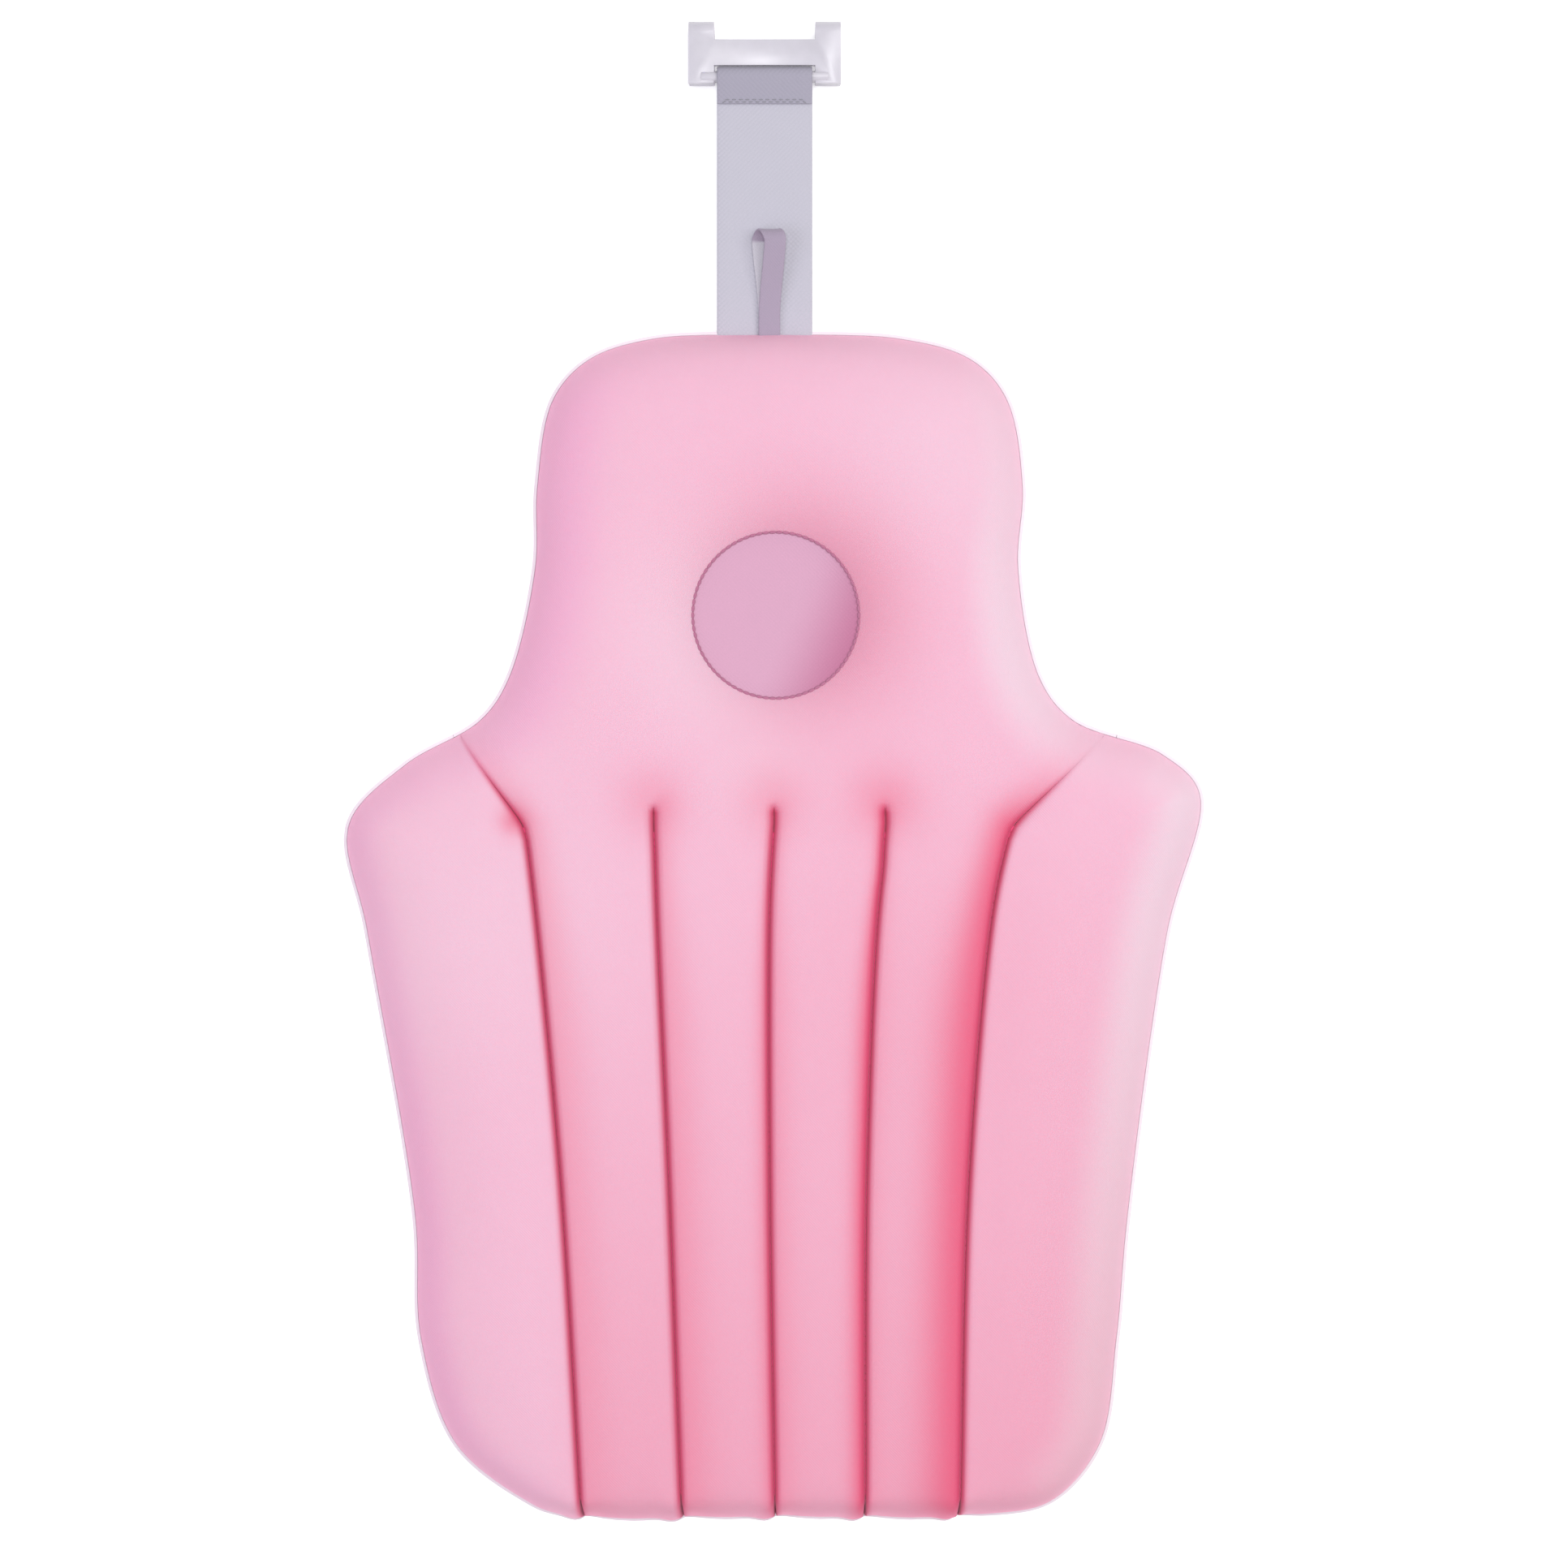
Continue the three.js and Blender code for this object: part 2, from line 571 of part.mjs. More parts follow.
// One side wing: front cover, back cover and filling
function addWing(side) {
  const rowAt = (y) => wingRow(side, y);
  const front = surface(wingLevels, rowAt, frontHeight, frontEdgeHeight);
  const back = surface(wingLevels, rowAt, backHeight, backEdgeHeight);
  const frontInside = insetSurface(front, COVER_THICKNESS, -1);
  const backInside = insetSurface(back, COVER_THICKNESS, 1);
  addPart(`${side}_wing_front_cover`, solidBetween(front, frontInside), "frontCloth");
  addPart(`${side}_wing_back_cover`, solidBetween(backInside, back), "backCloth");
  const rows = [1, front.length - 2];
  const columns = [1, front[0].length - 2];
  const fillTop = patch(insetSurface(front, FILL_INSET, -1), rows, columns);
  const fillFloor = patch(insetSurface(back, FILL_INSET, 1), rows, columns);
  addPart(`${side}_wing_filling`, solidBetween(fillTop, fillFloor), "filling");
}

// Recess: a shallow dish of cloth with its seam thread round it
function addRecess() {
  const radius = RECESS_RADIUS - SEAM_SETBACK;
  const floor = RECESS_RIM_HEIGHT - RECESS_DISH_DEPTH;
  const dish = (share) => floor + RECESS_DISH_DEPTH * share ** DISH_POWER;
  const face = DISH_STATIONS.map((share) => new THREE.Vector2(share * radius, dish(share)));
  const underside = face.map((point) => new THREE.Vector2(point.x, point.y - COVER_THICKNESS));
  const profile = [...underside, ...face.reverse()];
  const panel = new THREE.LatheGeometry(profile, ROUND_STEPS).rotateX(Math.PI / 2);
  addPart("head_recess_panel", panel.translate(RECESS_OFFSET, RECESS_Y, 0), "recessCloth");
  const ring = new THREE.TorusGeometry(RECESS_RADIUS, THREAD_RADIUS, SMALL_ROUND_STEPS - 2, ROUND_STEPS);
  addPart("head_recess_thread", ring.translate(RECESS_OFFSET, RECESS_Y, RECESS_RIM_HEIGHT), "seamThread");
}

// Seam threads lie along the sewn lines
function threadAlong(line, height) {
  const path = new THREE.CurvePath();
  const points = line.map((point) => new THREE.Vector3(point.x, point.y, height));
  points.slice(1).forEach((point, i) => path.add(new THREE.LineCurve3(points[i], point)));
  const circle = new THREE.Shape().absarc(0, 0, THREAD_RADIUS, 0, 2 * Math.PI);
  const settings = { extrudePath: path, steps: points.length * 2, curveSegments: SMALL_ROUND_STEPS / 2 };
  return new THREE.ExtrudeGeometry(circle, settings);
}

function addThreads() {
  const restingHeight = CHANNEL_SEAM_HEIGHT + CLEARANCE + THREAD_RADIUS;
  channelLines.forEach((line, i) => {
    const start = line[1].clone().lerp(line[2], THREAD_LEAD);
    const run = [start, ...line.slice(2, -1)];
    addPart(`channel_seam_thread_${i + 1}`, threadAlong(run, restingHeight), "seamThread");
  });
  for (const side of ["left", "right"]) {
    const thinned = wingSeams[side].line.filter((_, i) => i % THREAD_THINNING === 1);
    addPart(`${side}_wing_seam_thread`, threadAlong(thinned, SEAM_HEIGHT / 2), "seamThread");
  }
}

// Strap: a straight run from the fold at the top seam, round the hook's bar, sewn back on itself
function addStrap() {
  const bar = [BAR_Y, EDGE_HEIGHT];
  const innerRadius = HOOK_BAR_RADIUS + CLEARANCE;
  const outerRadius = innerRadius + STRAP_THICKNESS;
  const flapEnd = BAR_Y - STRAP_FLAP;
  const flapFace = STRAP_FACE + STRAP_THICKNESS;
  const parting = flapEnd + FLAP_PARTING;
  const shape = new THREE.Shape();
  shape.absarc(FOLD_Y, EDGE_HEIGHT, STRAP_THICKNESS / 2, Math.PI / 2, 1.5 * Math.PI, false);
  shape.lineTo(parting, STRAP_UNDERSIDE);
  roundEnd(shape, bar, outerRadius, [parting, STRAP_UNDERSIDE], [parting, flapFace]);
  shape.lineTo(parting, flapFace);
  shape.lineTo(flapEnd, flapFace);
  shape.lineTo(flapEnd, STRAP_FACE);
  shape.closePath();
  shape.holes.push(teardropHole(bar, innerRadius, [parting + STRAP_THICKNESS, STRAP_FACE]));
  addPart("hanging_strap", acrossPillow(shape, strapX[0], STRAP_WIDTH), "webbing");
  addPart("strap_sewn_end", sewnEnd(strapX, STRAP_UNDERSIDE, STRAP_FACE, 0), "webbing");
  const tackFrom = flapEnd + CLEARANCE;
  const tack = box(
    [STRAP_OFFSET - TACK_LENGTH / 2, tackFrom, flapFace + CLEARANCE],
    [STRAP_OFFSET + TACK_LENGTH / 2, tackFrom + TACK_WIDTH, flapFace + CLEARANCE + TACK_HEIGHT],
  );
  addPart("strap_bar_tack", tack, "webbing");
}

// Drying loop: a folded tape that lies in front of the strap
function addLoop() {
  const tip = [TOP + LOOP_REACH - LOOP_TIP_RADIUS, LOOP_UNDERSIDE + LOOP_TIP_RADIUS];
  const root = [FOLD_Y, LOOP_UNDERSIDE + LOOP_THICKNESS];
  const apex = [FOLD_Y + 2 * LOOP_THICKNESS, root[1] + LOOP_APEX_LIFT];
  const shape = new THREE.Shape();
  shape.absarc(root[0], root[1], LOOP_THICKNESS, Math.PI / 2, 1.5 * Math.PI, false);
  roundEnd(shape, tip, LOOP_TIP_RADIUS, [root[0], LOOP_UNDERSIDE], [root[0], loopTop]);
  shape.closePath();
  shape.holes.push(teardropHole(tip, LOOP_TIP_RADIUS - LOOP_THICKNESS, apex));
  addPart("drying_loop", acrossPillow(shape, loopX[0], LOOP_WIDTH), "loopTape");
  addPart("loop_sewn_end", sewnEnd(loopX, LOOP_UNDERSIDE, loopTop, 0), "loopTape");
}

// Rim hook: one moulding, lying level with the back of the pad
function hookArmShape() {
  const front = EDGE_HEIGHT + HOOK_PLATE / 2;
  const [foot, top] = [BAR_Y - HOOK_FOOT_BELOW_BAR, BAR_Y + HOOK_TOP_ABOVE_BAR];
  const [outer, inner] = [HOOK_OUTER_CORNER, HOOK_INNER_CORNER];
  const [bridge, throatTop] = [top - HOOK_PLATE, front - HOOK_PLATE];
  const shape = new THREE.Shape();
  shape.moveTo(foot, throatTop);
  shape.lineTo(bridge - inner, throatTop);
  shape.lineTo(bridge, throatTop - inner);
  shape.lineTo(bridge, HOOK_PLATE + inner);
  shape.lineTo(bridge - inner, HOOK_PLATE);
  shape.lineTo(top - PRONG_LENGTH, HOOK_PLATE);
  shape.lineTo(top - PRONG_LENGTH, 0);
  shape.absarc(top - outer, outer, outer, -Math.PI / 2, 0, false);
  shape.absarc(top - outer, front - outer, outer, 0, Math.PI / 2, false);
  shape.lineTo(foot, front);
  shape.closePath();
  return shape;
}

function addHook() {
  const [left, right] = [STRAP_OFFSET - HOOK_WIDTH / 2, STRAP_OFFSET + HOOK_WIDTH / 2];
  const shape = hookArmShape();
  const arms = [left, right - HOOK_ARM_WIDTH].map((x) => acrossPillow(shape, x, HOOK_ARM_WIDTH));
  const halfArm = HOOK_ARM_WIDTH / 2;
  const strapTop = BAR_Y + HOOK_BAR_RADIUS + STRAP_THICKNESS + 2 * CLEARANCE;
  const crossbar = box(
    [left + halfArm, strapTop, EDGE_HEIGHT - HOOK_PLATE / 2],
    [right - halfArm, strapTop + HOOK_CROSSBAR, EDGE_HEIGHT + HOOK_PLATE / 2],
  );
  const barLength = HOOK_WIDTH - HOOK_ARM_WIDTH;
  const bar = new THREE.CylinderGeometry(HOOK_BAR_RADIUS, HOOK_BAR_RADIUS, barLength, ROUND_STEPS / 2);
  bar.rotateZ(Math.PI / 2).translate(STRAP_OFFSET, BAR_Y, EDGE_HEIGHT);
  addPart("rim_hook", joined(...arms, crossbar, bar), "hookPlastic");
}

addCentre();
addWing("left");
addWing("right");
addRecess();
addThreads();
addStrap();
addLoop();
addHook();

export default assembly;
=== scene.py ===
"""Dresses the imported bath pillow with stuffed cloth, stitching, webbing and a moulded rim hook.

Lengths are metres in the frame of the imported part: X runs across the pillow, Y towards the hook and Z up
from its back.
"""

import json
import math
from collections import namedtuple

import bmesh
import bpy
import numpy as np
from bpy.props import FloatProperty, FloatVectorProperty, PointerProperty
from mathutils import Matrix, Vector


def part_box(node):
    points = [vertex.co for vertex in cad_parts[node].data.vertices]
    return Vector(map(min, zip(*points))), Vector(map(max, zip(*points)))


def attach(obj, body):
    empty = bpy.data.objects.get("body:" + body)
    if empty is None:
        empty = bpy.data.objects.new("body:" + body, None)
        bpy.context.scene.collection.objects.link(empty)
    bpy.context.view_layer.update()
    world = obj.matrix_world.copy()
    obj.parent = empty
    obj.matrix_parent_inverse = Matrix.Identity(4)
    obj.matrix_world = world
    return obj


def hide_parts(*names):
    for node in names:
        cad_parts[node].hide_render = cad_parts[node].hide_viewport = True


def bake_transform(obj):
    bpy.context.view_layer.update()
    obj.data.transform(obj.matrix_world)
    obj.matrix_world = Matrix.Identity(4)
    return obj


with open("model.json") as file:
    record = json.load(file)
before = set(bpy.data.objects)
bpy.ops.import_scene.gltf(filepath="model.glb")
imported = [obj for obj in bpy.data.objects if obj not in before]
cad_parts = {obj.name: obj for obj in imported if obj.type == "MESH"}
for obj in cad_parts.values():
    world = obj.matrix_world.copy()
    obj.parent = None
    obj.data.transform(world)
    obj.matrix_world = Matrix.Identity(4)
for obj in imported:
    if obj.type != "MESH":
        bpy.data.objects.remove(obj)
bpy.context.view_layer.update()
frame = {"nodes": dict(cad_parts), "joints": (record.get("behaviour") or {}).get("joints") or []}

bl_info = {
    "name": "Bath pillow",
    "version": (1, 0, 0),
    "blender": (4, 5, 0),
    "location": "View3D > Sidebar > Bath pillow",
    "description": "Builds a stuffed bath pillow around its packed frame",
    "category": "Add Mesh",
}

MM = 0.001
SIDES = {"left": -1, "right": 1}

# Plan of the padded body: drops run down from the top edge, insets run in from the half width beside them
HEAD_DROP = 65 * MM
NECK_DROP = 99 * MM
SHOULDER_DROP = 200 * MM
SHOULDER_TILT = 6.5 * MM
SHOULDER_TOP_TILT = SHOULDER_TILT / 3
WAIST_DROP = 371 * MM
HEM_CORNER_HEIGHT = 76 * MM
HEAD_FLAT_INSET = 50.5 * MM
HEAD_FLAT_DROP = 2 * MM
HEAD_CORNER_INSET = 22 * MM
HEAD_CORNER_DROP = 11 * MM
TEMPLE_INSET = 6.8 * MM
TEMPLE_DROP = 28 * MM
NECK_FLARE = 10 * MM
NECK_FLARE_RISE = 55 * MM
ARMPIT_FLARE = 22.5 * MM
ARMPIT_RISE = 38 * MM
SHOULDER_INSET = 20 * MM
SHOULDER_RISE = 21.5 * MM
FLANK_INSET = 10.7 * MM
FLANK_FALL = 52 * MM
HEM_SIDE_INSET = 11 * MM
HEM_SIDE_RISE = 31.5 * MM
HEM_CORNER_INSET = 35.5 * MM
HEM_CORNER_RISE = 7.7 * MM
HEM_FLAT_INSET = 57 * MM
HEM_FLAT_RISE = 1.2 * MM

# The pad isn't quite symmetrical: how far each level sits to the right of the centre line
HEAD_LEAN = 2.4 * MM
NECK_LEAN = 1 * MM
SHOULDER_LEAN = 4 * MM
FLANK_LEAN = -2.9 * MM
WAIST_LEAN = -1.2 * MM
HEM_LEAN = -2.3 * MM
HEM_CORNER_LEAN = 6 * MM
HEM_SIDE_LEAN = HEM_CORNER_LEAN / 4

# Seams in plan, and how far their points sit to the right of the centre line
NOTCH_DROP = 169 * MM
KINK_HALF_WIDTH = 100 * MM
KINK_DROP = 208 * MM
KINK_LEAN = -2.6 * MM
SEAM_UPPER_HALF_WIDTH = 94.4 * MM
SEAM_UPPER_DROP = 242 * MM
SEAM_UPPER_LEAN = -4.16 * MM
SEAM_MIDDLE_HALF_WIDTH = 84.3 * MM
SEAM_MIDDLE_LEAN = -3.9 * MM
SEAM_FOOT_HALF_WIDTH = 78 * MM
SEAM_FOOT_LEAN = -1.3 * MM
SEAM_SETBACK = 0.06 * MM
SEAM_FOOT_GAP = 3 * SEAM_SETBACK
CORNER_SPACING = 1 * MM
CORNER_PASSES = 32
CHANNEL_DROP = 201 * MM
CHANNEL_SHARES = (0.265, 0.512, 0.75)
CHANNEL_TOP_LEANS = (0, 0, -2 * MM)
TOP_LEAN_LENGTH = 28 * MM

# How softly the stuffed cloth rises from each seam, along it and at its upper end
EDGE_SOFTNESS = 28 * MM
HEM_SOFTNESS = 12 * MM
HEM_SOFTNESS_RISE = 60 * MM
WING_SOFTNESS = 2.2 * MM
WING_TOP_SOFTNESS = 8 * MM
CHANNEL_SOFTNESS = 2.2 * MM
CHANNEL_TOP_SOFTNESS = 3.5 * MM
TURN_LENGTH = 8 * MM
RECESS_SOFTNESS = 17 * MM
WALL_POWER = 0.66
WALL_STEEPNESS = 2

# Bottom of the inner seams, and how far up its slant a wing seam still holds the cloth down
CHANNEL_SEAM_HEIGHT = 41 * MM
WING_SEAM_HEIGHT = 41 * MM
SLANT_END = 0.85
SEAM_FOOT_HEIGHT = 5 * MM
SEAM_FOOT_RISE = 14 * MM
PINCH_LENGTH = 8 * MM

# Hem and back
HEM_BEND_REACH = 40 * MM
HEM_NUB = 2 * MM
HEM_NUB_WIDTH = 5 * MM
HEM_NUB_SHIFT = -4 * MM
HEM_NUB_REACH = 24 * MM
BACK_EDGE_RADIUS = 22 * MM
QUILT_DIMPLE = 0.9 * MM
QUILT_WIDTH = 4 * MM

# Painted shade beside a seam, reddened as by light bounced in the groove: its strength, how fast it fades up
# the slanting part, and how far it reaches
Glow = namedtuple("Glow", "strength fade reach")

# Painted shade on the left and on the right of each seam, wing seams first
SEAM_GLOWS = (
    (Glow(0.2, 2, 2 * MM), Glow(0.4, 0.7, 15 * MM)),
    (Glow(0.95, 2, 17 * MM), Glow(0.3, 2, 2 * MM)),
    (Glow(0.05, 2, 2 * MM), Glow(0.4, 2, 13 * MM)),
    (Glow(0.55, 2, 5 * MM), Glow(0.35, 2, 9 * MM)),
    (Glow(1.0, 2, 6 * MM), Glow(0.25, 2, 8 * MM)),
)
GLOW_TAPER = 0.4
GLOW_TAPER_LENGTH = 90 * MM

# Painted shade at the bottom of a seam, a deep rose line
CREASE_SHADE_WIDTH = 1.8 * MM
CREASE_SHADE_TAPER = 0.5
CREASE_SHADE_FADES = {"left": 0.5, "right": 1.6}

# A soft round spot of painted shade, also used for painted highlights: its middle, its strength and how far
# it reaches
Spot = namedtuple("Spot", "place strength reach")

# Painted shade at the seams' upper ends, on the rolls and beside the recess
TOP_SHADES = (0.3, 0.3, 0.42)
TOP_SHADE_REACH = 15 * MM
TOP_SHADE_RISE = 4 * MM
KINK_SHADE = 0.6
KINK_SHADE_REACH = 6 * MM
KINK_SHADE_SHIFT = (-4 * MM, 3 * MM)
SHADED_ROLL = Spot((65 * MM, -20 * MM), 0.16, 75 * MM)
ROLL_SHADE = 0.3
RECESS_DIP_SHADE = 0.3
DIP_REACH = 30 * MM
DIP_SHADE_ANGLE = math.radians(20)

# Painted shade on left-facing edges, and painted highlights on right-facing edges and in a few places on the
# front
LEFT_SHADE_REACH = 22 * MM
HEAD_LEFT_SHADE_REACH = 38 * MM
HIGHLIGHT_REACH = 32 * MM
EDGE_SHADING_CORE = 1 / 3
HEAD_HIGHLIGHT_LOSS = 0.5
RECESS_HIGHLIGHT = 0.5
HIGHLIGHT_SPOTS = (
    Spot((-125 * MM, 3 * MM), 0.3, 60 * MM),
    Spot((80 * MM, 197 * MM), 0.35, 50 * MM),
    Spot((-8 * MM, 68 * MM), 0.3, 25 * MM),
)

# Points and rows of the meshes
SPAN_STEPS = 30
ABOVE_RECESS_ROWS = 46
TOP_ROW_CROWDING = 1.8
RECESS_ROWS = 44
BELOW_RECESS_ROWS = 26
BODY_ROWS = 92
ROLLS = 4
ROLL_COLUMNS = 22
WING_COLUMNS = 40
RIBBON_FLAT_POINTS = 9
RIBBON_EDGE_POINTS = 6

# Angles up to which a mesh is shaded smoothly
CLOTH_SMOOTH_ANGLE = math.radians(50)
RIBBON_SMOOTH_ANGLE = math.radians(60)

# A length or share too small to matter
TINY = 1e-9

# Stuffing simulation
SIM_STEP = 5 * MM
SIM_FRAMES = 20
SIM_QUALITY = 6
SIM_MASS = 0.2
SIM_STIFFNESS = 15
SIM_BENDING = 2
SIM_PRESSURE = 4.0
SIM_CAP = 2.5 * MM
SIM_PIN = 6 * MM
SIM_FADE = 16 * MM

# A sewn line from its upper end down, and what it does to the height and the colour of the cloth
SewnLine = namedtuple("SewnLine", "line floor softness top_softness turn slant fade")


def length_property(name, description, default):
    """A length that a user may change, in metres."""
    return FloatProperty(name=name, description=description, default=default, unit="LENGTH")


class PillowSizes(bpy.types.PropertyGroup):
    """Sizes of the pillow that a user may change"""

    pad_length: length_property("Pad length", "Padded part from top edge to hem", 0.498)
    head_half_width: length_property("Head half width", "Half the width of the head section", 0.103)
    neck_half_width: length_property("Neck half width", "Half the width below the head", 0.1025)
    shoulder_half_width: length_property("Shoulder half width", "Half the width across the wings", 0.1795)
    waist_half_width: length_property("Waist half width", "Half the width low on the body", 0.1505)
    hem_half_width: length_property("Hem half width", "Half the width above the hem's corners", 0.147)
    edge_height: length_property("Edge height", "Height of the seam that joins front and back", 0.02)
    crown: length_property("Crown", "Height of the padding well away from any seam", 0.047)
    rim: length_property("Rim", "Width of back cloth that shows round the front", 0.0015)
    cloth: length_property("Cloth", "Thickness of the cover cloth", 0.0012)
    recess_depth: length_property("Recess dish", "Depth of the dished panel in the recess", 0.003)
    stitch_pitch: length_property("Stitch pitch", "Distance from one stitch to the next", 0.003)
    thread_radius: length_property("Thread radius", "Half the thickness of the thread", 0.0005)


def colour_property(name, description, default):
    """A colour that a user may change, as linear red, green and blue."""
    return FloatVectorProperty(
        name=name, description=description, default=default, subtype="COLOR", size=3, min=0, max=1)


class PillowColours(bpy.types.PropertyGroup):
    """Colours of the pillow's cloths, thread, tapes and plastic"""

    front: colour_property("Front cloth", "Pink of the stuffed front", (0.775, 0.432, 0.555))
    # Painted shade for the cloth on the left-facing edges
    lilac: colour_property("Lilac edge", "Cloth that turns away to the left", (0.78, 0.385, 0.55))
    # Painted highlight for the right-facing edges, beside the recess and in a few spots
    pale: colour_property("Pale edge", "Cloth that turns away to the right", (0.77, 0.57, 0.66))
    # Painted shade beside the seams, in the recess's dip and lower on the rolls
    flush: colour_property("Seam flush", "Warmer pink of the cloth beside a seam", (0.71, 0.1, 0.19))
    # Painted shade along the bottom of each seam
    crease: colour_property("Crease", "Deep rose at the bottom of a seam", (0.62, 0.05, 0.145))
    recess: colour_property("Recess cloth", "Lilac pink of the round panel", (0.60, 0.335, 0.465))
    # Painted shade for the recess panel's lower right
    recess_shade: colour_property("Recess shade", "Deeper rose on its lower right", (0.48, 0.17, 0.29))
    back: colour_property("Back cloth", "Pale lilac grey of the back", (0.82, 0.74, 0.80))
    padding: colour_property("Padding", "White of the fibre filling", (0.86, 0.85, 0.83))
    thread: colour_property("Thread", "Dark rose of the seam thread", (0.92, 0.09, 0.28))
    ring: colour_property("Ring thread", "Muted rose of the thread round the recess", (0.42, 0.16, 0.26))
    webbing: colour_property("Webbing", "Lavender grey of the strap", (0.493, 0.482, 0.55))
    # Painted shade for the folded-back flap
    flap: colour_property("Strap flap", "Darker grey where the strap is doubled", (0.35, 0.333, 0.405))
    # Painted shadow for the strap's fold where it sits in the hook's slot
    slot: colour_property("Strap fold", "Dark grey of the strap's fold in the slot", (0.16, 0.15, 0.19))
    loop: colour_property("Loop tape", "Mauve of the drying loop", (0.36, 0.30, 0.39))
    # Painted light that makes the loop's back leg lighter
    back_leg_light: colour_property("Loop tape back", "Paler back leg of the drying loop", (0.56, 0.54, 0.60))
    hook: colour_property("Hook plastic", "Milky white of the rim hook", (0.585, 0.565, 0.62))


# Lines in plan
def smooth_line(points, steps=SPAN_STEPS):
    """A curve through the points that keeps close to them (centripetal Catmull-Rom)."""
    p = np.array(points, float)
    p = np.vstack([2 * p[0] - p[1], p, 2 * p[-1] - p[-2]])
    t = np.linspace(0, 1, steps, endpoint=False)[:, None]
    spans = []
    for before, start, end, after in zip(p, p[1:], p[2:], p[3:]):
        first, middle, last = (
            np.linalg.norm(b - a) ** 0.5 for a, b in ((before, start), (start, end), (end, after)))
        leave = (start - before) / first - (end - before) / (first + middle) + (end - start) / middle
        arrive = (end - start) / middle - (after - start) / (middle + last) + (after - end) / last
        leave, arrive = leave * middle, arrive * middle
        square = 3 * (end - start) - 2 * leave - arrive
        cube = 2 * (start - end) + leave + arrive
        spans.append(start + leave * t + square * t**2 + cube * t**3)
    return np.vstack([*spans, p[-2][None]])


def shifted(line, distance):
    """The line moved to the left of its own direction."""
    step = np.gradient(line, axis=0)
    across = np.stack([-step[:, 1], step[:, 0]], 1) / np.hypot(*step.T)[:, None]
    return line + distance * across


def x_at(line, y):
    """Where a line that runs down the pillow crosses a level."""
    return np.interp(-np.asarray(y), -line[:, 1], line[:, 0])


def eased_corners(line):
    """The line in even steps with its corners rounded off."""
    run = np.pad(np.hypot(*np.diff(line, axis=0).T).cumsum(), (1, 0))
    stops = np.linspace(0, run[-1], round(run[-1] / CORNER_SPACING))
    even = np.stack([np.interp(stops, run, line[:, 0]), np.interp(stops, run, line[:, 1])], 1)
    for _ in range(CORNER_PASSES):
        even[1:-1] = (even[:-2] + 2 * even[1:-1] + even[2:]) / 4
    return even


def nearest_on(line, x, y):
    """Distance in plan from each point to a line, and the line's direction at the nearest place."""
    points = np.stack([np.ravel(x), np.ravel(y)], 1)
    best = np.full(len(points), np.inf)
    heading = np.zeros_like(points)
    for start, step in zip(line[:-1], np.diff(line, axis=0)):
        along = np.clip((points - start) @ step / (step @ step), 0, 1)
        away = np.hypot(*(points - start - along[:, None] * step).T)
        closer = away < best
        best[closer] = away[closer]
        heading[closer] = step / np.hypot(*step)
    shape = np.shape(x)
    return best.reshape(shape), heading.reshape(*shape, 2)


def gap_to(line, x, y):
    """Distance in plan from each point to a line."""
    return nearest_on(line, x, y)[0]


def smooth_step(start, end, value):
    """0 before start, 1 after end, and a soft change between them."""
    t = np.clip((value - start) / (end - start), 0, 1)
    return t * t * (3 - 2 * t)


def side_outline(sizes, side):
    """Outline of one side, from the middle of the top edge to the middle of the hem."""
    head, neck = sizes.head_half_width, sizes.neck_half_width
    shoulder, hem, length = sizes.shoulder_half_width, sizes.hem_half_width, sizes.pad_length
    # Half width, drop, lean to the right, and how far the right side stands above the left
    stations = [
        (0, 0, 0, 0),
        (head - HEAD_FLAT_INSET, HEAD_FLAT_DROP, NECK_LEAN, 0),
        (head - HEAD_CORNER_INSET, HEAD_CORNER_DROP, HEAD_LEAN, 0),
        (head - TEMPLE_INSET, TEMPLE_DROP, HEAD_LEAN, 0),
        (head, HEAD_DROP, HEAD_LEAN, 0),
        (neck, NECK_DROP, NECK_LEAN, 0),
        (neck + NECK_FLARE, SHOULDER_DROP - NECK_FLARE_RISE, 0, 0),
        (neck + ARMPIT_FLARE, SHOULDER_DROP - ARMPIT_RISE, NECK_LEAN, 0),
        (shoulder - SHOULDER_INSET, SHOULDER_DROP - SHOULDER_RISE, SHOULDER_LEAN, SHOULDER_TOP_TILT),
        (shoulder, SHOULDER_DROP, 0, SHOULDER_TILT),
        (shoulder - FLANK_INSET, SHOULDER_DROP + FLANK_FALL, FLANK_LEAN, 0),
        (sizes.waist_half_width, WAIST_DROP, WAIST_LEAN, 0),
        (hem, length - HEM_CORNER_HEIGHT, HEM_LEAN, 0),
        (hem - HEM_SIDE_INSET, length - HEM_SIDE_RISE, HEM_SIDE_LEAN, 0),
        (hem - HEM_CORNER_INSET, length - HEM_CORNER_RISE, HEM_CORNER_LEAN, 0),
        (hem - HEM_FLAT_INSET, length - HEM_FLAT_RISE, 0, 0),
        (0, length, 0, 0),
    ]
    top = length / 2
    points = [(side * half + lean, top - drop + side * rise) for half, drop, lean, rise in stations]
    return smooth_line(points)


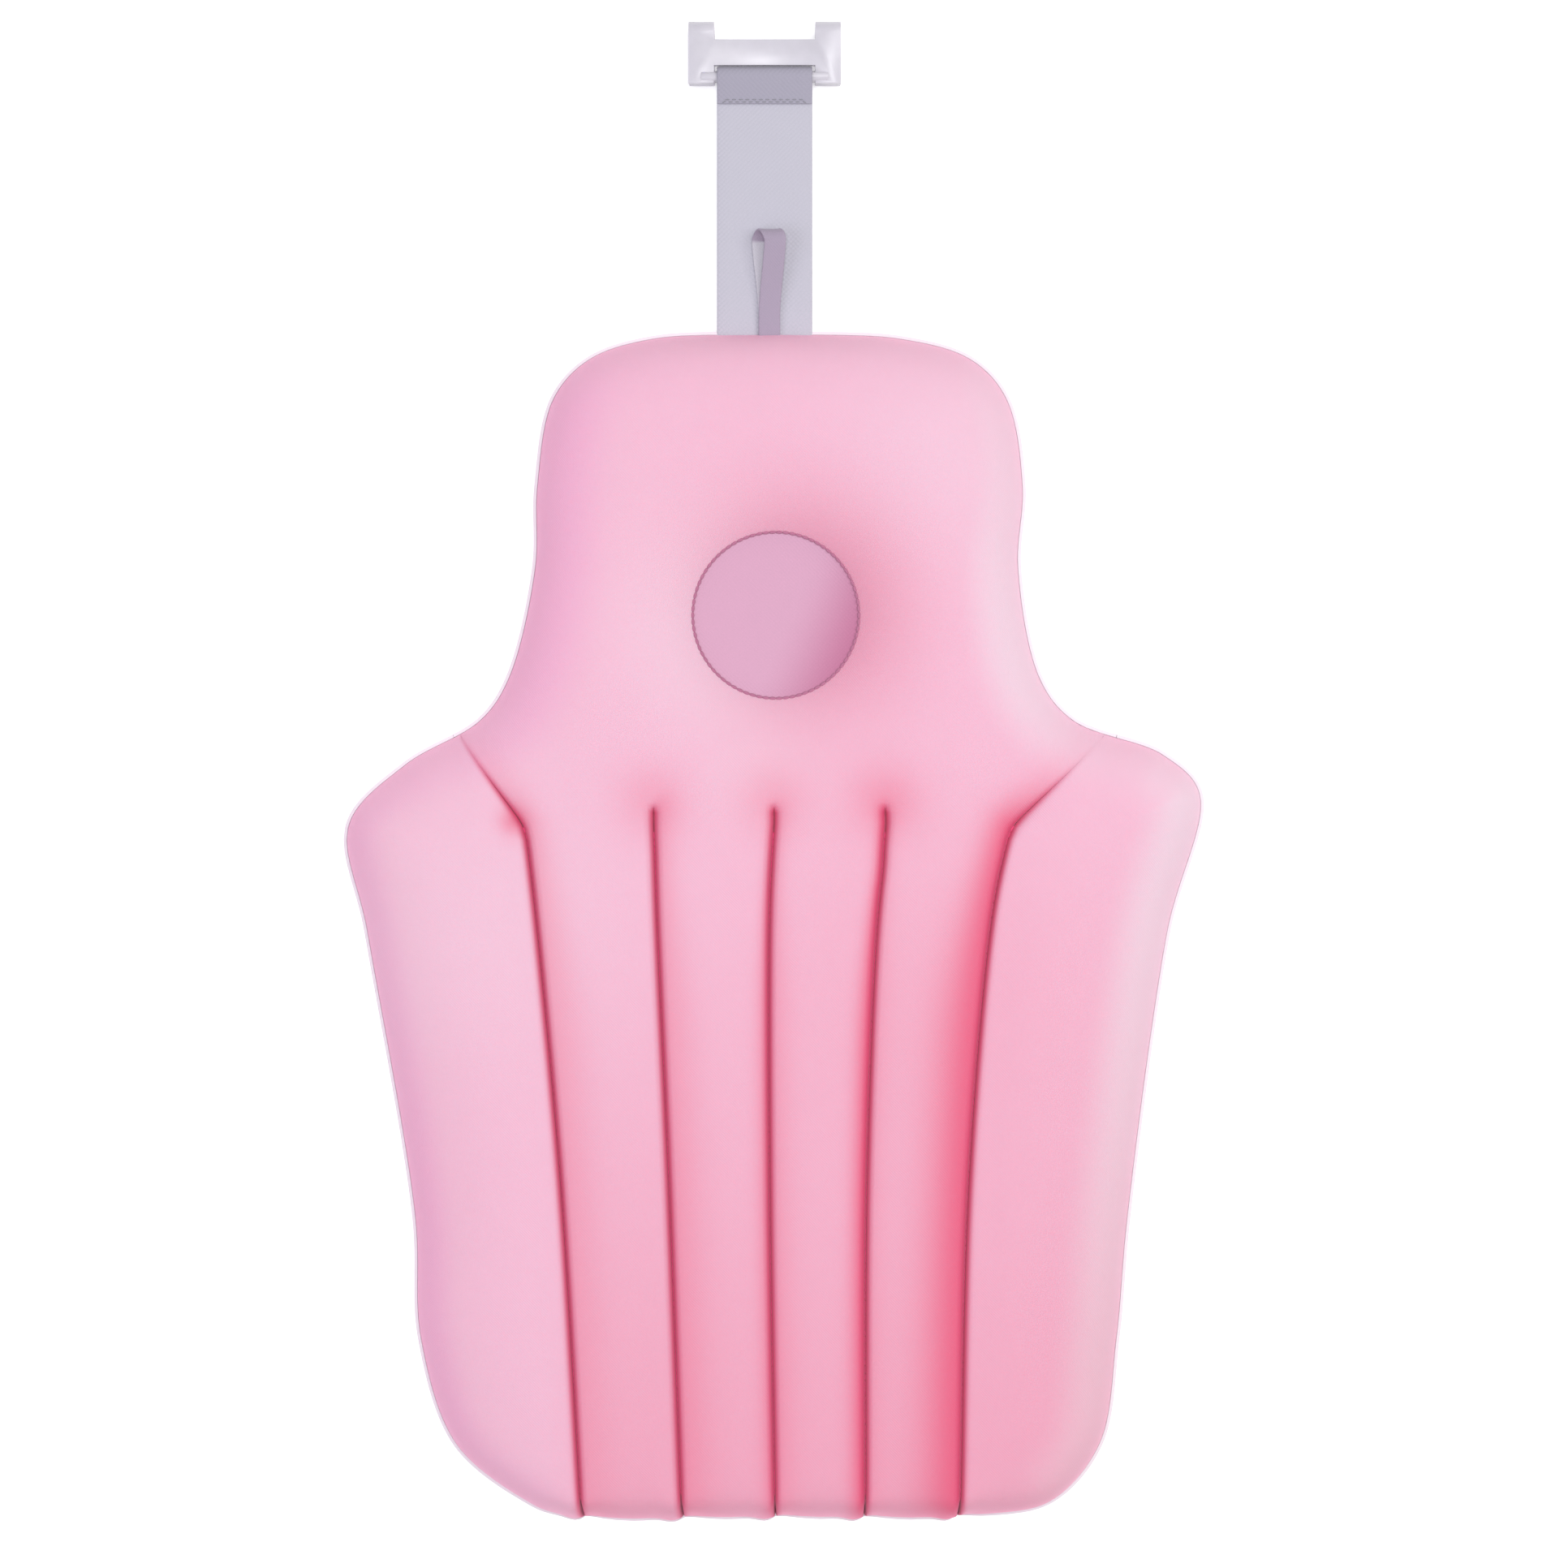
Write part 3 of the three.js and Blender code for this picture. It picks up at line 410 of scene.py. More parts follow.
class Plan:
    """The sewn lines of the pillow seen from above, worked out from the sizes."""

    def __init__(self, sizes):
        self.sizes = sizes
        self.top = sizes.pad_length / 2
        self.hem = -self.top
        self.notch_y = self.top - NOTCH_DROP
        self.kink_y = self.top - KINK_DROP
        self.outline = {name: side_outline(sizes, side) for name, side in SIDES.items()}
        self.whole_outline = np.vstack([self.outline["left"], self.outline["right"][-2::-1]])
        self.cloth_edge = {
            name: shifted(self.outline[name], -side * sizes.rim) for name, side in SIDES.items()}
        self.whole_cloth_edge = np.vstack([self.cloth_edge["left"], self.cloth_edge["right"][-2::-1]])
        self.wing_seam = {name: self._wing_seam(name, side) for name, side in SIDES.items()}
        low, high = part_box("head_recess_thread")
        self.recess = (low + high).to_2d() / 2
        self.recess_radius = (high.x - low.x + high.y - low.y) / 4 - (high.z - low.z) / 2
        self.recess_rim = (low.z + high.z) / 2
        self.channels = list(map(self._channel, CHANNEL_SHARES, CHANNEL_TOP_LEANS))
        self.seams = [*map(self._sewn_wing, SIDES), *map(self._sewn_channel, self.channels)]

    def _wing_seam(self, name, side):
        """Line of a wing seam, from the notch over the kink down to the hem."""
        notch = (x_at(self.cloth_edge[name], self.notch_y), self.notch_y)
        lower = smooth_line([
            (side * KINK_HALF_WIDTH + KINK_LEAN, self.kink_y),
            (side * SEAM_UPPER_HALF_WIDTH + SEAM_UPPER_LEAN, self.top - SEAM_UPPER_DROP),
            (side * SEAM_MIDDLE_HALF_WIDTH + SEAM_MIDDLE_LEAN, (self.kink_y + self.hem) / 2),
            (side * SEAM_FOOT_HALF_WIDTH + SEAM_FOOT_LEAN, self.hem),
        ])
        return eased_corners(np.vstack([notch, lower]))

    def _sewn_wing(self, name):
        """A wing seam with what it does to the cloth."""
        line = self.wing_seam[name]
        kink = np.array([x_at(line, self.kink_y), self.kink_y])
        slant = (kink, line[0])
        fade = CREASE_SHADE_FADES[name]
        return SewnLine(line, WING_SEAM_HEIGHT, WING_SOFTNESS, WING_TOP_SOFTNESS, self.kink_y, slant, fade)

    def _sewn_channel(self, line):
        """A channel seam with what it does to the cloth."""
        turn = line[0, 1] - TURN_LENGTH
        return SewnLine(line, CHANNEL_SEAM_HEIGHT, CHANNEL_SOFTNESS, CHANNEL_TOP_SOFTNESS, turn, None, 1)

    def _channel(self, share, top_lean):
        """Line of a channel seam, a share of the way from the left wing seam to the right one."""
        y = np.linspace(self.top - CHANNEL_DROP, self.hem, 2 * SPAN_STEPS)
        left, right = (x_at(self.lower_seam(name), y) for name in SIDES)
        lean = top_lean * smooth_step(y[0] - TOP_LEAN_LENGTH, y[0], y)
        return np.stack([left + share * (right - left) + lean, y], 1)

    def lower_seam(self, name):
        """A wing seam below its kink, where it is sewn through to the back."""
        line = self.wing_seam[name]
        return line[line[:, 1] <= self.kink_y]

    def setback(self, y):
        """How far the cloth stands back from a wing seam, which closes up towards the notch."""
        return SEAM_SETBACK * (1 - smooth_step(self.kink_y, self.notch_y, y))

    def centre_edges(self, y, edge):
        """Left and right ends of a row across the centre, on the given outline or on the wing seams."""
        ends = []
        for name, side in SIDES.items():
            on_seam = x_at(self.wing_seam[name], y) - side * self.setback(y)
            ends.append(np.where(y > self.notch_y, x_at(edge[name], y), on_seam))
        return ends

    def hem_level(self, edge, x):
        """Level of the hem of the given outline at places across it."""
        line = np.vstack([edge["left"], edge["right"][-2::-1]])
        low = line[line[:, 1] < self.hem + HEM_CORNER_RISE]
        return np.interp(x, low[:, 0], low[:, 1])

    def wing_edges(self, name, y, edge):
        """Inner and outer ends of a row across a wing."""
        inner = x_at(self.wing_seam[name], y) + SIDES[name] * self.setback(y)
        return inner, x_at(edge[name], y)


# Heights of the stuffed cloth
def pinch(plan, x, y):
    """0 on a line sewn through to the back, 1 well away from it."""
    lines = [plan.lower_seam("left"), plan.lower_seam("right"), *plan.channels]
    nearest = np.min([gap_to(line, x, y) for line in lines], axis=0)
    return 1 - np.exp(-np.maximum(0, nearest - SEAM_SETBACK) / PINCH_LENGTH)


def edge_height(plan, x, y):
    """Height of the outline seam, which dips where an inner seam runs out to it."""
    return SEAM_FOOT_HEIGHT + (plan.sizes.edge_height - SEAM_FOOT_HEIGHT) * pinch(plan, x, y)


def fullness(closeness):
    """Share of the crown reached: steep at a seam, level far from it."""
    return (1 - np.exp(-WALL_STEEPNESS / np.sqrt(closeness))) ** WALL_POWER


def seam_floor(plan, seam, y):
    """Height at the bottom of an inner seam, which runs down to the hem."""
    rise = smooth_step(plan.hem, plan.hem + SEAM_FOOT_RISE, y)
    return SEAM_FOOT_HEIGHT + (seam.floor - SEAM_FOOT_HEIGHT) * rise


def up_slant(seam, x, y):
    """How far up the slanting part of a seam each point lies: 0 at the kink, 1 at the notch."""
    if seam.slant is None:
        return np.zeros(np.shape(x))
    kink, notch = seam.slant
    run = notch - kink
    return np.clip(((x - kink[0]) * run[0] + (y - kink[1]) * run[1]) / (run @ run), 0, 1)


def softness_at(seam, y):
    """How softly the cloth rises from a seam at a level."""
    upper = smooth_step(seam.turn - TURN_LENGTH, seam.turn + TURN_LENGTH, y)
    return seam.softness + upper * (seam.top_softness - seam.softness)


def stuffed(plan, seams, x, y):
    """Height of the cloth over its filling, held down by the outline and by the given seams."""
    crown = plan.sizes.crown
    edge = edge_height(plan, x, y)
    edge_gap = np.maximum(TINY, gap_to(plan.whole_cloth_edge, x, y))
    hem_share = 1 - smooth_step(plan.hem, plan.hem + HEM_SOFTNESS_RISE, y)
    closeness = ((EDGE_SOFTNESS + hem_share * (HEM_SOFTNESS - EDGE_SOFTNESS)) / edge_gap) ** 2
    edge_only = edge + (crown - edge) * fullness(closeness)
    weights, heights = edge_gap**-2.0, edge * edge_gap**-2.0
    for seam in seams:
        gap = np.maximum(TINY, gap_to(seam.line, x, y) - SEAM_SETBACK)
        closeness = closeness + (softness_at(seam, y) / gap) ** 2
        weights = weights + gap**-2.0
        heights = heights + np.minimum(edge_only, seam_floor(plan, seam, y)) * gap**-2.0
    base = heights / weights
    return base + (crown - base) * fullness(closeness)


def front_height(plan, x, y):
    """Height of the stuffed front above the back; a wing seam runs out level before it gets to the notch."""
    sewn = stuffed(plan, plan.seams, x, y)
    unsewn = stuffed(plan, [seam for seam in plan.seams if seam.slant is None], x, y)
    climb = np.max([up_slant(seam, x, y) for seam in plan.seams], axis=0)
    pad = sewn + smooth_step(0, SLANT_END, climb) * (unsewn - sewn)
    recess_gap = np.maximum(0, np.hypot(x - plan.recess.x, y - plan.recess.y) - plan.recess_radius)
    return pad - (pad - plan.recess_rim) * np.exp(-recess_gap / RECESS_SOFTNESS)


def back_height(plan, x, y):
    """Height of the back cloth: flat, dimpled along the quilting and turned up round the edge."""
    to_edge = np.maximum(0, 1 - gap_to(plan.whole_outline, x, y) / BACK_EDGE_RADIUS)
    turn = edge_height(plan, x, y) * (1 - np.sqrt(1 - to_edge**2))
    quilting = np.min([gap_to(line, x, y) for line in plan.channels], axis=0)
    return turn + QUILT_DIMPLE * np.exp(-((quilting / QUILT_WIDTH) ** 2))


def hem_drop(plan, x, y):
    """How far the hem hangs lower beside the foot of each inner seam."""
    feet = np.array([seam.line[-1, 0] + HEM_NUB_SHIFT for seam in plan.seams])
    nubs = np.exp(-(((x[..., None] - feet) / HEM_NUB_WIDTH) ** 2)).sum(axis=-1)
    return HEM_NUB * nubs * (1 - smooth_step(plan.hem, plan.hem + HEM_NUB_REACH, y))


def recess_dip(plan, x, y):
    """How near each point is to the recess, and how far it lies on the side of it that gets painted shade,
    from 0 to 1.
    """
    away_x, away_y = x - plan.recess.x, y - plan.recess.y
    away = np.hypot(away_x, away_y)
    shaded_side = (away_x * math.cos(DIP_SHADE_ANGLE) + away_y * math.sin(DIP_SHADE_ANGLE)) / (away + TINY)
    return np.exp(-(((away - plan.recess_radius) / DIP_REACH) ** 2)), (1 + shaded_side) / 2


def painted_spot(spot, x, y):
    """How much each point takes of a spot of painted shade, or of a painted highlight."""
    away = (x - spot.place[0]) ** 2 + (y - spot.place[1]) ** 2
    return spot.strength * np.exp(-away / spot.reach**2)


def shade_patches(plan, x, y):
    """Painted shade on the rolls towards the hem, beside the recess and round the seams' upper ends."""
    low = smooth_step(-plan.kink_y, -plan.hem, -y)
    rolls = smooth_step(-KINK_HALF_WIDTH, -KINK_HALF_WIDTH / 2, x)
    dip, shaded_side = recess_dip(plan, x, y)
    shade_share = ROLL_SHADE * low * rolls + RECESS_DIP_SHADE * dip * shaded_side
    spots = []
    for line, glow in zip(plan.channels, TOP_SHADES):
        spots.append(Spot(line[0] + (0, TOP_SHADE_RISE), glow, TOP_SHADE_REACH))
    left_kink = plan.seams[0].slant[0]
    spots += [Spot(left_kink + KINK_SHADE_SHIFT, KINK_SHADE, KINK_SHADE_REACH), SHADED_ROLL]
    for spot in spots:
        shade_share = shade_share + painted_spot(spot, x, y) * (1 - shade_share)
    return shade_share


def seam_shading(plan, x, y):
    """How much a point takes of the painted shade along the bottom of a seam, and of the painted shade beside
    it.
    """
    crease, flush = np.zeros(np.shape(x)), shade_patches(plan, x, y)
    for seam, glows in zip(plan.seams, SEAM_GLOWS):
        gap = gap_to(seam.line, x, y)
        climb = up_slant(seam, x, y)
        past_end = np.maximum(0, y - seam.line[0, 1])
        to_right = smooth_step(-1, 1, (x - x_at(seam.line, y)) / (SEAM_SETBACK + past_end))
        strength, fade, reach = (left + to_right * (right - left) for left, right in zip(*glows))
        reach = reach * (1 - GLOW_TAPER * smooth_step(seam.turn - GLOW_TAPER_LENGTH, seam.turn, y))
        glow = strength * (1 - climb) ** fade * np.exp(-((gap / reach) ** 2))
        # Painted shade along the seam's bottom, fading up the slant
        line = np.exp(-((gap / (CREASE_SHADE_WIDTH * (1 - CREASE_SHADE_TAPER * climb))) ** 2))
        crease = np.maximum(crease, (1 - climb) ** seam.fade * line)
        flush = flush + glow * (1 - flush)
    return crease, flush


def edge_lighting(plan, x, y):
    """How much a point takes of the painted shade on the left edges, and of the painted highlights elsewhere.
    """
    gap, heading = nearest_on(plan.whole_outline, x, y)
    facing = heading[..., 1]
    head = smooth_step(plan.notch_y, plan.top, y)
    above_kink = smooth_step(plan.kink_y, plan.notch_y, y)
    left_shade_reach = LEFT_SHADE_REACH + above_kink * (HEAD_LEFT_SHADE_REACH - LEFT_SHADE_REACH)
    lilac = np.maximum(0, -facing) * (1 - smooth_step(EDGE_SHADING_CORE * left_shade_reach, left_shade_reach, gap))
    pale = np.maximum(0, facing) * (1 - smooth_step(EDGE_SHADING_CORE * HIGHLIGHT_REACH, HIGHLIGHT_REACH, gap))
    dip, shaded_side = recess_dip(plan, x, y)
    # Painted highlights: right-facing edges (less on the head), the lower left of the recess and a few spots
    highlights = [pale * (1 - HEAD_HIGHLIGHT_LOSS * head), RECESS_HIGHLIGHT * dip * (1 - shaded_side) ** 2]
    highlights += [painted_spot(spot, x, y) for spot in HIGHLIGHT_SPOTS]
    return lilac, np.max(highlights, axis=0)


# Rows and columns of the panels
def row_levels(plan, top, hem):
    """Levels of the rows across the centre, closer at the edges and round the recess."""
    radius, middle = plan.recess_radius, plan.recess.y
    above = top - (top - middle - radius) * np.linspace(0, 1, ABOVE_RECESS_ROWS) ** TOP_ROW_CROWDING
    beside = middle + radius * np.cos(np.linspace(0, math.pi, RECESS_ROWS))
    below = np.linspace(middle - radius, plan.kink_y, BELOW_RECESS_ROWS)
    body = plan.kink_y - (plan.kink_y - hem) * np.sin(np.linspace(0, math.pi / 2, BODY_ROWS))
    at_notch = (plan.notch_y, plan.notch_y + SEAM_SETBACK)
    return np.sort(np.concatenate([above, beside[1:], below[1:], body[1:], at_notch]))[::-1]


def eased(count):
    """Stations from 0 to 1, closer at both ends."""
    return (1 - np.cos(np.linspace(0, math.pi, count + 1))) / 2


def centre_columns(plan, y, edge, split):
    """Places across the centre for each level: four rolls, parted round the recess by half the split."""
    left, right = plan.centre_edges(y, edge)
    first, second, third = CHANNEL_SHARES
    head_share = smooth_step(plan.top - CHANNEL_DROP, plan.recess.y - plan.recess_radius, y)
    first_seam, middle, third_seam = (x_at(line, y) for line in plan.channels)
    middle = middle + head_share * (plan.recess.x - middle)
    lower, upper = middle - split, middle + split
    first_seam = first_seam + head_share * (left + first / second * (lower - left) - first_seam)
    third_share = (third - second) / (1 - second)
    third_seam = third_seam + head_share * (upper + third_share * (right - upper) - third_seam)
    ends = [
        (left, first_seam - SEAM_SETBACK),
        (first_seam + SEAM_SETBACK, lower),
        (upper, third_seam - SEAM_SETBACK),
        (third_seam + SEAM_SETBACK, right),
    ]
    stations = eased(ROLL_COLUMNS)
    return np.hstack([start[:, None] + (end - start)[:, None] * stations for start, end in ends])


def wing_columns(plan, name, y, edge):
    """Places across a wing for each level, from left to right."""
    inner, outer = plan.wing_edges(name, y, edge)
    places = inner[:, None] + (outer - inner)[:, None] * eased(WING_COLUMNS)
    return places if name == "right" else places[:, ::-1]


def wing_levels(plan, name, edge):
    """Levels of the rows across a wing, from the notch down to where its seam meets the hem."""
    low = edge[name][edge[name][:, 1] < plan.hem + HEM_CORNER_RISE]
    widths = SIDES[name] * (low[:, 0] - x_at(plan.wing_seam[name], low[:, 1]))
    foot = np.interp(SEAM_FOOT_GAP, widths[::-1], low[::-1, 1])
    tip = plan.notch_y - (plan.notch_y - plan.kink_y) * np.linspace(0, 1, 2 * BELOW_RECESS_ROWS) ** 2
    body = plan.kink_y - (plan.kink_y - foot) * np.sin(np.linspace(0, math.pi / 2, BODY_ROWS))
    levels = np.concatenate([tip, body[1:]])
    inner, outer = plan.wing_edges(name, levels, edge)
    return levels[SIDES[name] * (outer - inner) > SEAM_SETBACK]


def recess_split(plan, y, radius):
    """Half the gap that the centre's middle columns leave at each level, for a round hole of that radius."""
    chord = np.sqrt(np.maximum(0, radius**2 - (y - plan.recess.y) ** 2))
    return np.maximum(SEAM_SETBACK, chord)


# Meshes
def grid_mesh(name, points, missing=None, upward=True, rolls=1):
    """Quads over rows and columns of points, with a map that follows the cloth's grain."""
    rows, columns = points.shape[:2]
    index = np.arange(rows * columns).reshape(rows, columns)
    corners = [index[:-1, :-1], index[1:, :-1], index[1:, 1:], index[:-1, 1:]]
    quads = np.stack(corners if upward else corners[::-1], -1)
    kept = quads.reshape(-1, 4) if missing is None else quads[~missing]
    mesh = bpy.data.meshes.new(name)
    mesh.from_pydata(points.reshape(-1, 3).tolist(), [], kept.tolist())
    across = np.hstack([along_roll(roll) for roll in np.split(points, rolls, 1)])
    add_grain(mesh, np.stack([across, points[..., 1]], -1).reshape(-1, 2))
    return mesh


def along_roll(points):
    """Place across the cloth for each point of one roll, measured over its curve from its middle."""
    run = np.pad(np.linalg.norm(np.diff(points, axis=1), axis=2).cumsum(axis=1), ((0, 0), (1, 0)))
    middle = points.shape[1] // 2
    return run - run[:, middle, None] + points[:, middle, :1]


def add_grain(mesh, grain):
    """Stores a place on the cloth, in metres, for each vertex."""
    loops = np.zeros(len(mesh.loops), np.int32)
    mesh.loops.foreach_get("vertex_index", loops)
    layer = mesh.uv_layers.new(name="cloth_grain")
    layer.data.foreach_set("uv", grain[loops].astype(np.float32).ravel())


def add_values(mesh, name, values):
    """Stores one number for each vertex."""
    attribute = mesh.attributes.new(name, "FLOAT", "POINT")
    attribute.data.foreach_set("value", np.ravel(values).astype(np.float32))


def new_object(name, mesh, material):
    """Puts a mesh into the scene with one material."""
    made = bpy.data.objects.new(name, mesh)
    made.data.materials.append(material)
    bpy.context.scene.collection.objects.link(made)
    return made


def settle(obj, smooth_angle=CLOTH_SMOOTH_ANGLE):
    """Applies the modifiers and shades the mesh smoothly up to an angle."""
    bpy.context.view_layer.update()
    graph = bpy.context.evaluated_depsgraph_get()
    evaluated = obj.evaluated_get(graph)
    mesh = bpy.data.meshes.new_from_object(evaluated, preserve_all_data_layers=True, depsgraph=graph)
    mesh.name = obj.name
    obj.modifiers.clear()
    obj.data = mesh
    mesh.shade_smooth()
    mesh.set_sharp_from_angle(angle=smooth_angle)
    return obj


def thicken(obj, thickness):
    """Gives a sheet its cloth thickness, on the inside."""
    solidify = obj.modifiers.new("cloth thickness", "SOLIDIFY")
    solidify.thickness = thickness
    solidify.offset = -1
    return settle(obj)


def closed_between(name, upper, lower):
    """A closed body between an upper and a lower grid of the same shape."""
    rows, columns = upper.shape[:2]
    mesh = bmesh.new()
    tops, bottoms = (
        [[mesh.verts.new(point) for point in row] for row in grid] for grid in (upper, lower))
    for r in range(rows - 1):
        for c in range(columns - 1):
            mesh.faces.new((tops[r][c], tops[r + 1][c], tops[r + 1][c + 1], tops[r][c + 1]))
            mesh.faces.new((bottoms[r][c + 1], bottoms[r + 1][c + 1], bottoms[r + 1][c], bottoms[r][c]))
    border = [(0, c) for c in range(columns - 1)] + [(r, columns - 1) for r in range(rows - 1)]
    border += [(rows - 1, c) for c in range(columns - 1, 0, -1)] + [(r, 0) for r in range(rows - 1, 0, -1)]
    for (r, c), (next_r, next_c) in zip(border, border[1:] + border[:1]):
        mesh.faces.new((tops[r][c], tops[next_r][next_c], bottoms[next_r][next_c], bottoms[r][c]))
    made = bpy.data.meshes.new(name)
    mesh.to_mesh(made)
    mesh.free()
    made.shade_smooth()
    return made


def level_rows(levels, columns):
    """Level of each point of a panel whose rows are straight."""
    return np.broadcast_to(levels[:, None], columns.shape)


def hem_rows(plan, levels, columns, edge):
    """Level of each point of a centre panel, whose last rows bend to follow the hem."""
    near_hem = 1 - smooth_step(plan.hem, plan.hem + HEM_BEND_REACH, levels[:, None])
    return levels[:, None] + near_hem * (plan.hem_level(edge, columns) - levels[-1])


def with_heights(plan, x, y, heights):
    """Points of a panel from its places in plan and its heights, with the hem let down at the seams."""
    return np.stack([x, y - hem_drop(plan, x, y), heights], -1)


# Stuffing
def stuffing_sheet(plan):
    """An even sheet over the whole front, its points, and how near each point is to a sewn line."""
    reach = plan.sizes.shoulder_half_width
    across = np.arange(-reach, reach + SIM_STEP, SIM_STEP)
    x, y = np.meshgrid(across, np.arange(plan.hem, plan.top, SIM_STEP))
    inside = (x > x_at(plan.cloth_edge["left"], y)) & (x < x_at(plan.cloth_edge["right"], y))
    z = np.where(inside, front_height(plan, x, y), 0)
    gaps = [gap_to(seam.line, x, y) for seam in plan.seams]
    gaps.append(gap_to(plan.whole_cloth_edge, x, y))
    gaps.append(np.maximum(0, np.hypot(x - plan.recess.x, y - plan.recess.y) - plan.recess_radius))
    return np.stack([x, y, z], -1), inside, np.min(gaps, axis=0)


def stuffing_push(plan):
    """How far the filling pushes the cloth out between its seams, from a cloth simulation under pressure."""
    points, inside, gap = stuffing_sheet(plan)
    open_cells = ~(inside[:-1, :-1] & inside[1:, :-1] & inside[1:, 1:] & inside[:-1, 1:])
    sheet = new_object("stuffing_sheet", grid_mesh("stuffing_sheet", points, open_cells, False), None)
    sewn = sheet.vertex_groups.new(name="sewn")
    pinned = np.flatnonzero((gap < SIM_PIN) | ~inside)
    sewn.add(pinned.tolist(), 1.0, "REPLACE")
    cloth = sheet.modifiers.new("stuffing", "CLOTH")
    cloth.settings.quality = SIM_QUALITY
    cloth.settings.mass = SIM_MASS
    cloth.settings.tension_stiffness = SIM_STIFFNESS
    cloth.settings.compression_stiffness = SIM_STIFFNESS
    cloth.settings.bending_stiffness = SIM_BENDING
    cloth.settings.use_pressure = True
    cloth.settings.uniform_pressure_force = SIM_PRESSURE
    cloth.settings.effector_weights.gravity = 0
    cloth.settings.vertex_group_mass = sewn.name
    cloth.collision_settings.use_collision = False
    for number in range(1, SIM_FRAMES + 1):
        bpy.context.scene.frame_set(number)
    evaluated = sheet.evaluated_get(bpy.context.evaluated_depsgraph_get())
    moved = np.zeros(points.size, np.float32)
    evaluated.data.vertices.foreach_get("co", moved)
    push = moved.reshape(points.shape) - points
    length = np.linalg.norm(push, axis=2, keepdims=True)
    push = push * np.minimum(1, SIM_CAP / np.maximum(TINY, length))
    push = push * (inside * smooth_step(SIM_PIN, SIM_FADE, gap))[..., None]
    bpy.data.objects.remove(sheet)
    bpy.context.scene.frame_set(1)
    return points[0, 0], push


def pushed(points, stuffing):
    """Points of a panel moved by the stuffing, read between the simulated ones."""
    if stuffing is None:
        return points
    corner, push = stuffing
    last_row, last_column = push.shape[0] - 1 - TINY, push.shape[1] - 1 - TINY
    column = np.clip((points[..., 0] - corner[0]) / SIM_STEP, 0, last_column)
    row = np.clip((points[..., 1] - corner[1]) / SIM_STEP, 0, last_row)
    c, r = column.astype(int), row.astype(int)
    across, up = (column - c)[..., None], (row - r)[..., None]
    lower = push[r, c] * (1 - across) + push[r, c + 1] * across
    upper = push[r + 1, c] * (1 - across) + push[r + 1, c + 1] * across
    return points + lower * (1 - up) + upper * up


# Shader helpers
def new_material(name):
    """An empty material, its nodes and its surface shader."""
    material = bpy.data.materials.new(name)
    material.use_nodes = True
    tree = material.node_tree
    return material, tree, tree.nodes["Principled BSDF"]


def add_node(tree, kind, inputs=None, **settings):
    """A node with its settings made and its inputs set or linked."""
    made = tree.nodes.new(kind)
    for key, value in settings.items():
        setattr(made, key, value)
    for key, value in (inputs or {}).items():
        if isinstance(value, bpy.types.NodeSocket):
            tree.links.new(value, made.inputs[key])
        else:
            made.inputs[key].default_value = value
    return made


def set_inputs(node, values):
    """Sets a node's inputs by their names."""
    for name, value in values.items():
        node.inputs[name].default_value = value


def maths(tree, operation, *values):
    """The result of one sum on numbers or sockets."""
    return add_node(tree, "ShaderNodeMath", dict(enumerate(values)), operation=operation).outputs[0]


def new_group(name, kind, inputs, outputs):
    """An empty node group with its named sockets."""
    group = bpy.data.node_groups.new(name, kind)
    for way, sockets in (("INPUT", inputs), ("OUTPUT", outputs)):
        for label, socket in sockets.items():
            group.interface.new_socket(label, in_out=way, socket_type=f"NodeSocket{socket}")
    return group


def opaque(colour):
    """A colour with full alpha."""
    return (*colour, 1.0)


def scaled(colour, share):
    """A colour made lighter or darker, with full alpha."""
    return opaque([min(1.0, part * share) for part in colour])


def mixed(tree, share, first, second):
    """The colour between two others."""
    mix = add_node(tree, "ShaderNodeMix", data_type="RGBA")
    for key, value in (("Factor_Float", share), ("A_Color", first), ("B_Color", second)):
        socket = next(s for s in mix.inputs if s.identifier == key)
        if isinstance(value, bpy.types.NodeSocket):
            tree.links.new(value, socket)
        else:
            socket.default_value = value
    return next(s for s in mix.outputs if s.identifier == "Result_Color")


def weave_group():
    """Shader group: the height of a fine weave, and the soft unevenness of its nap."""
    name = "fine_weave"
    if name in bpy.data.node_groups:
        return bpy.data.node_groups[name]
    inputs = {"Place": "Vector", "Threads per metre": "Float", "Nap scale": "Float"}
    group = new_group(name, "ShaderNodeTree", inputs, {"Height": "Float", "Nap": "Float"})
    given = add_node(group, "NodeGroupInput").outputs
    turns = maths(group, "MULTIPLY", given["Threads per metre"], math.tau)
    turned = {"Vector": given["Place"], "Scale": turns}
    place = add_node(group, "ShaderNodeVectorMath", turned, operation="SCALE")
    parts = add_node(group, "ShaderNodeSeparateXYZ", {"Vector": place.outputs[0]})
    warp = maths(group, "SINE", parts.outputs["X"])
    weft = maths(group, "SINE", parts.outputs["Y"])
    height = maths(group, "MULTIPLY_ADD", maths(group, "MULTIPLY", warp, weft), 0.5, 0.5)
    uneven = {"Vector": given["Place"], "Scale": given["Nap scale"], "Detail": 4.0}
    nap = add_node(group, "ShaderNodeTexNoise", uneven)
    add_node(group, "NodeGroupOutput", {"Height": height, "Nap": nap.outputs[0]})
    return group


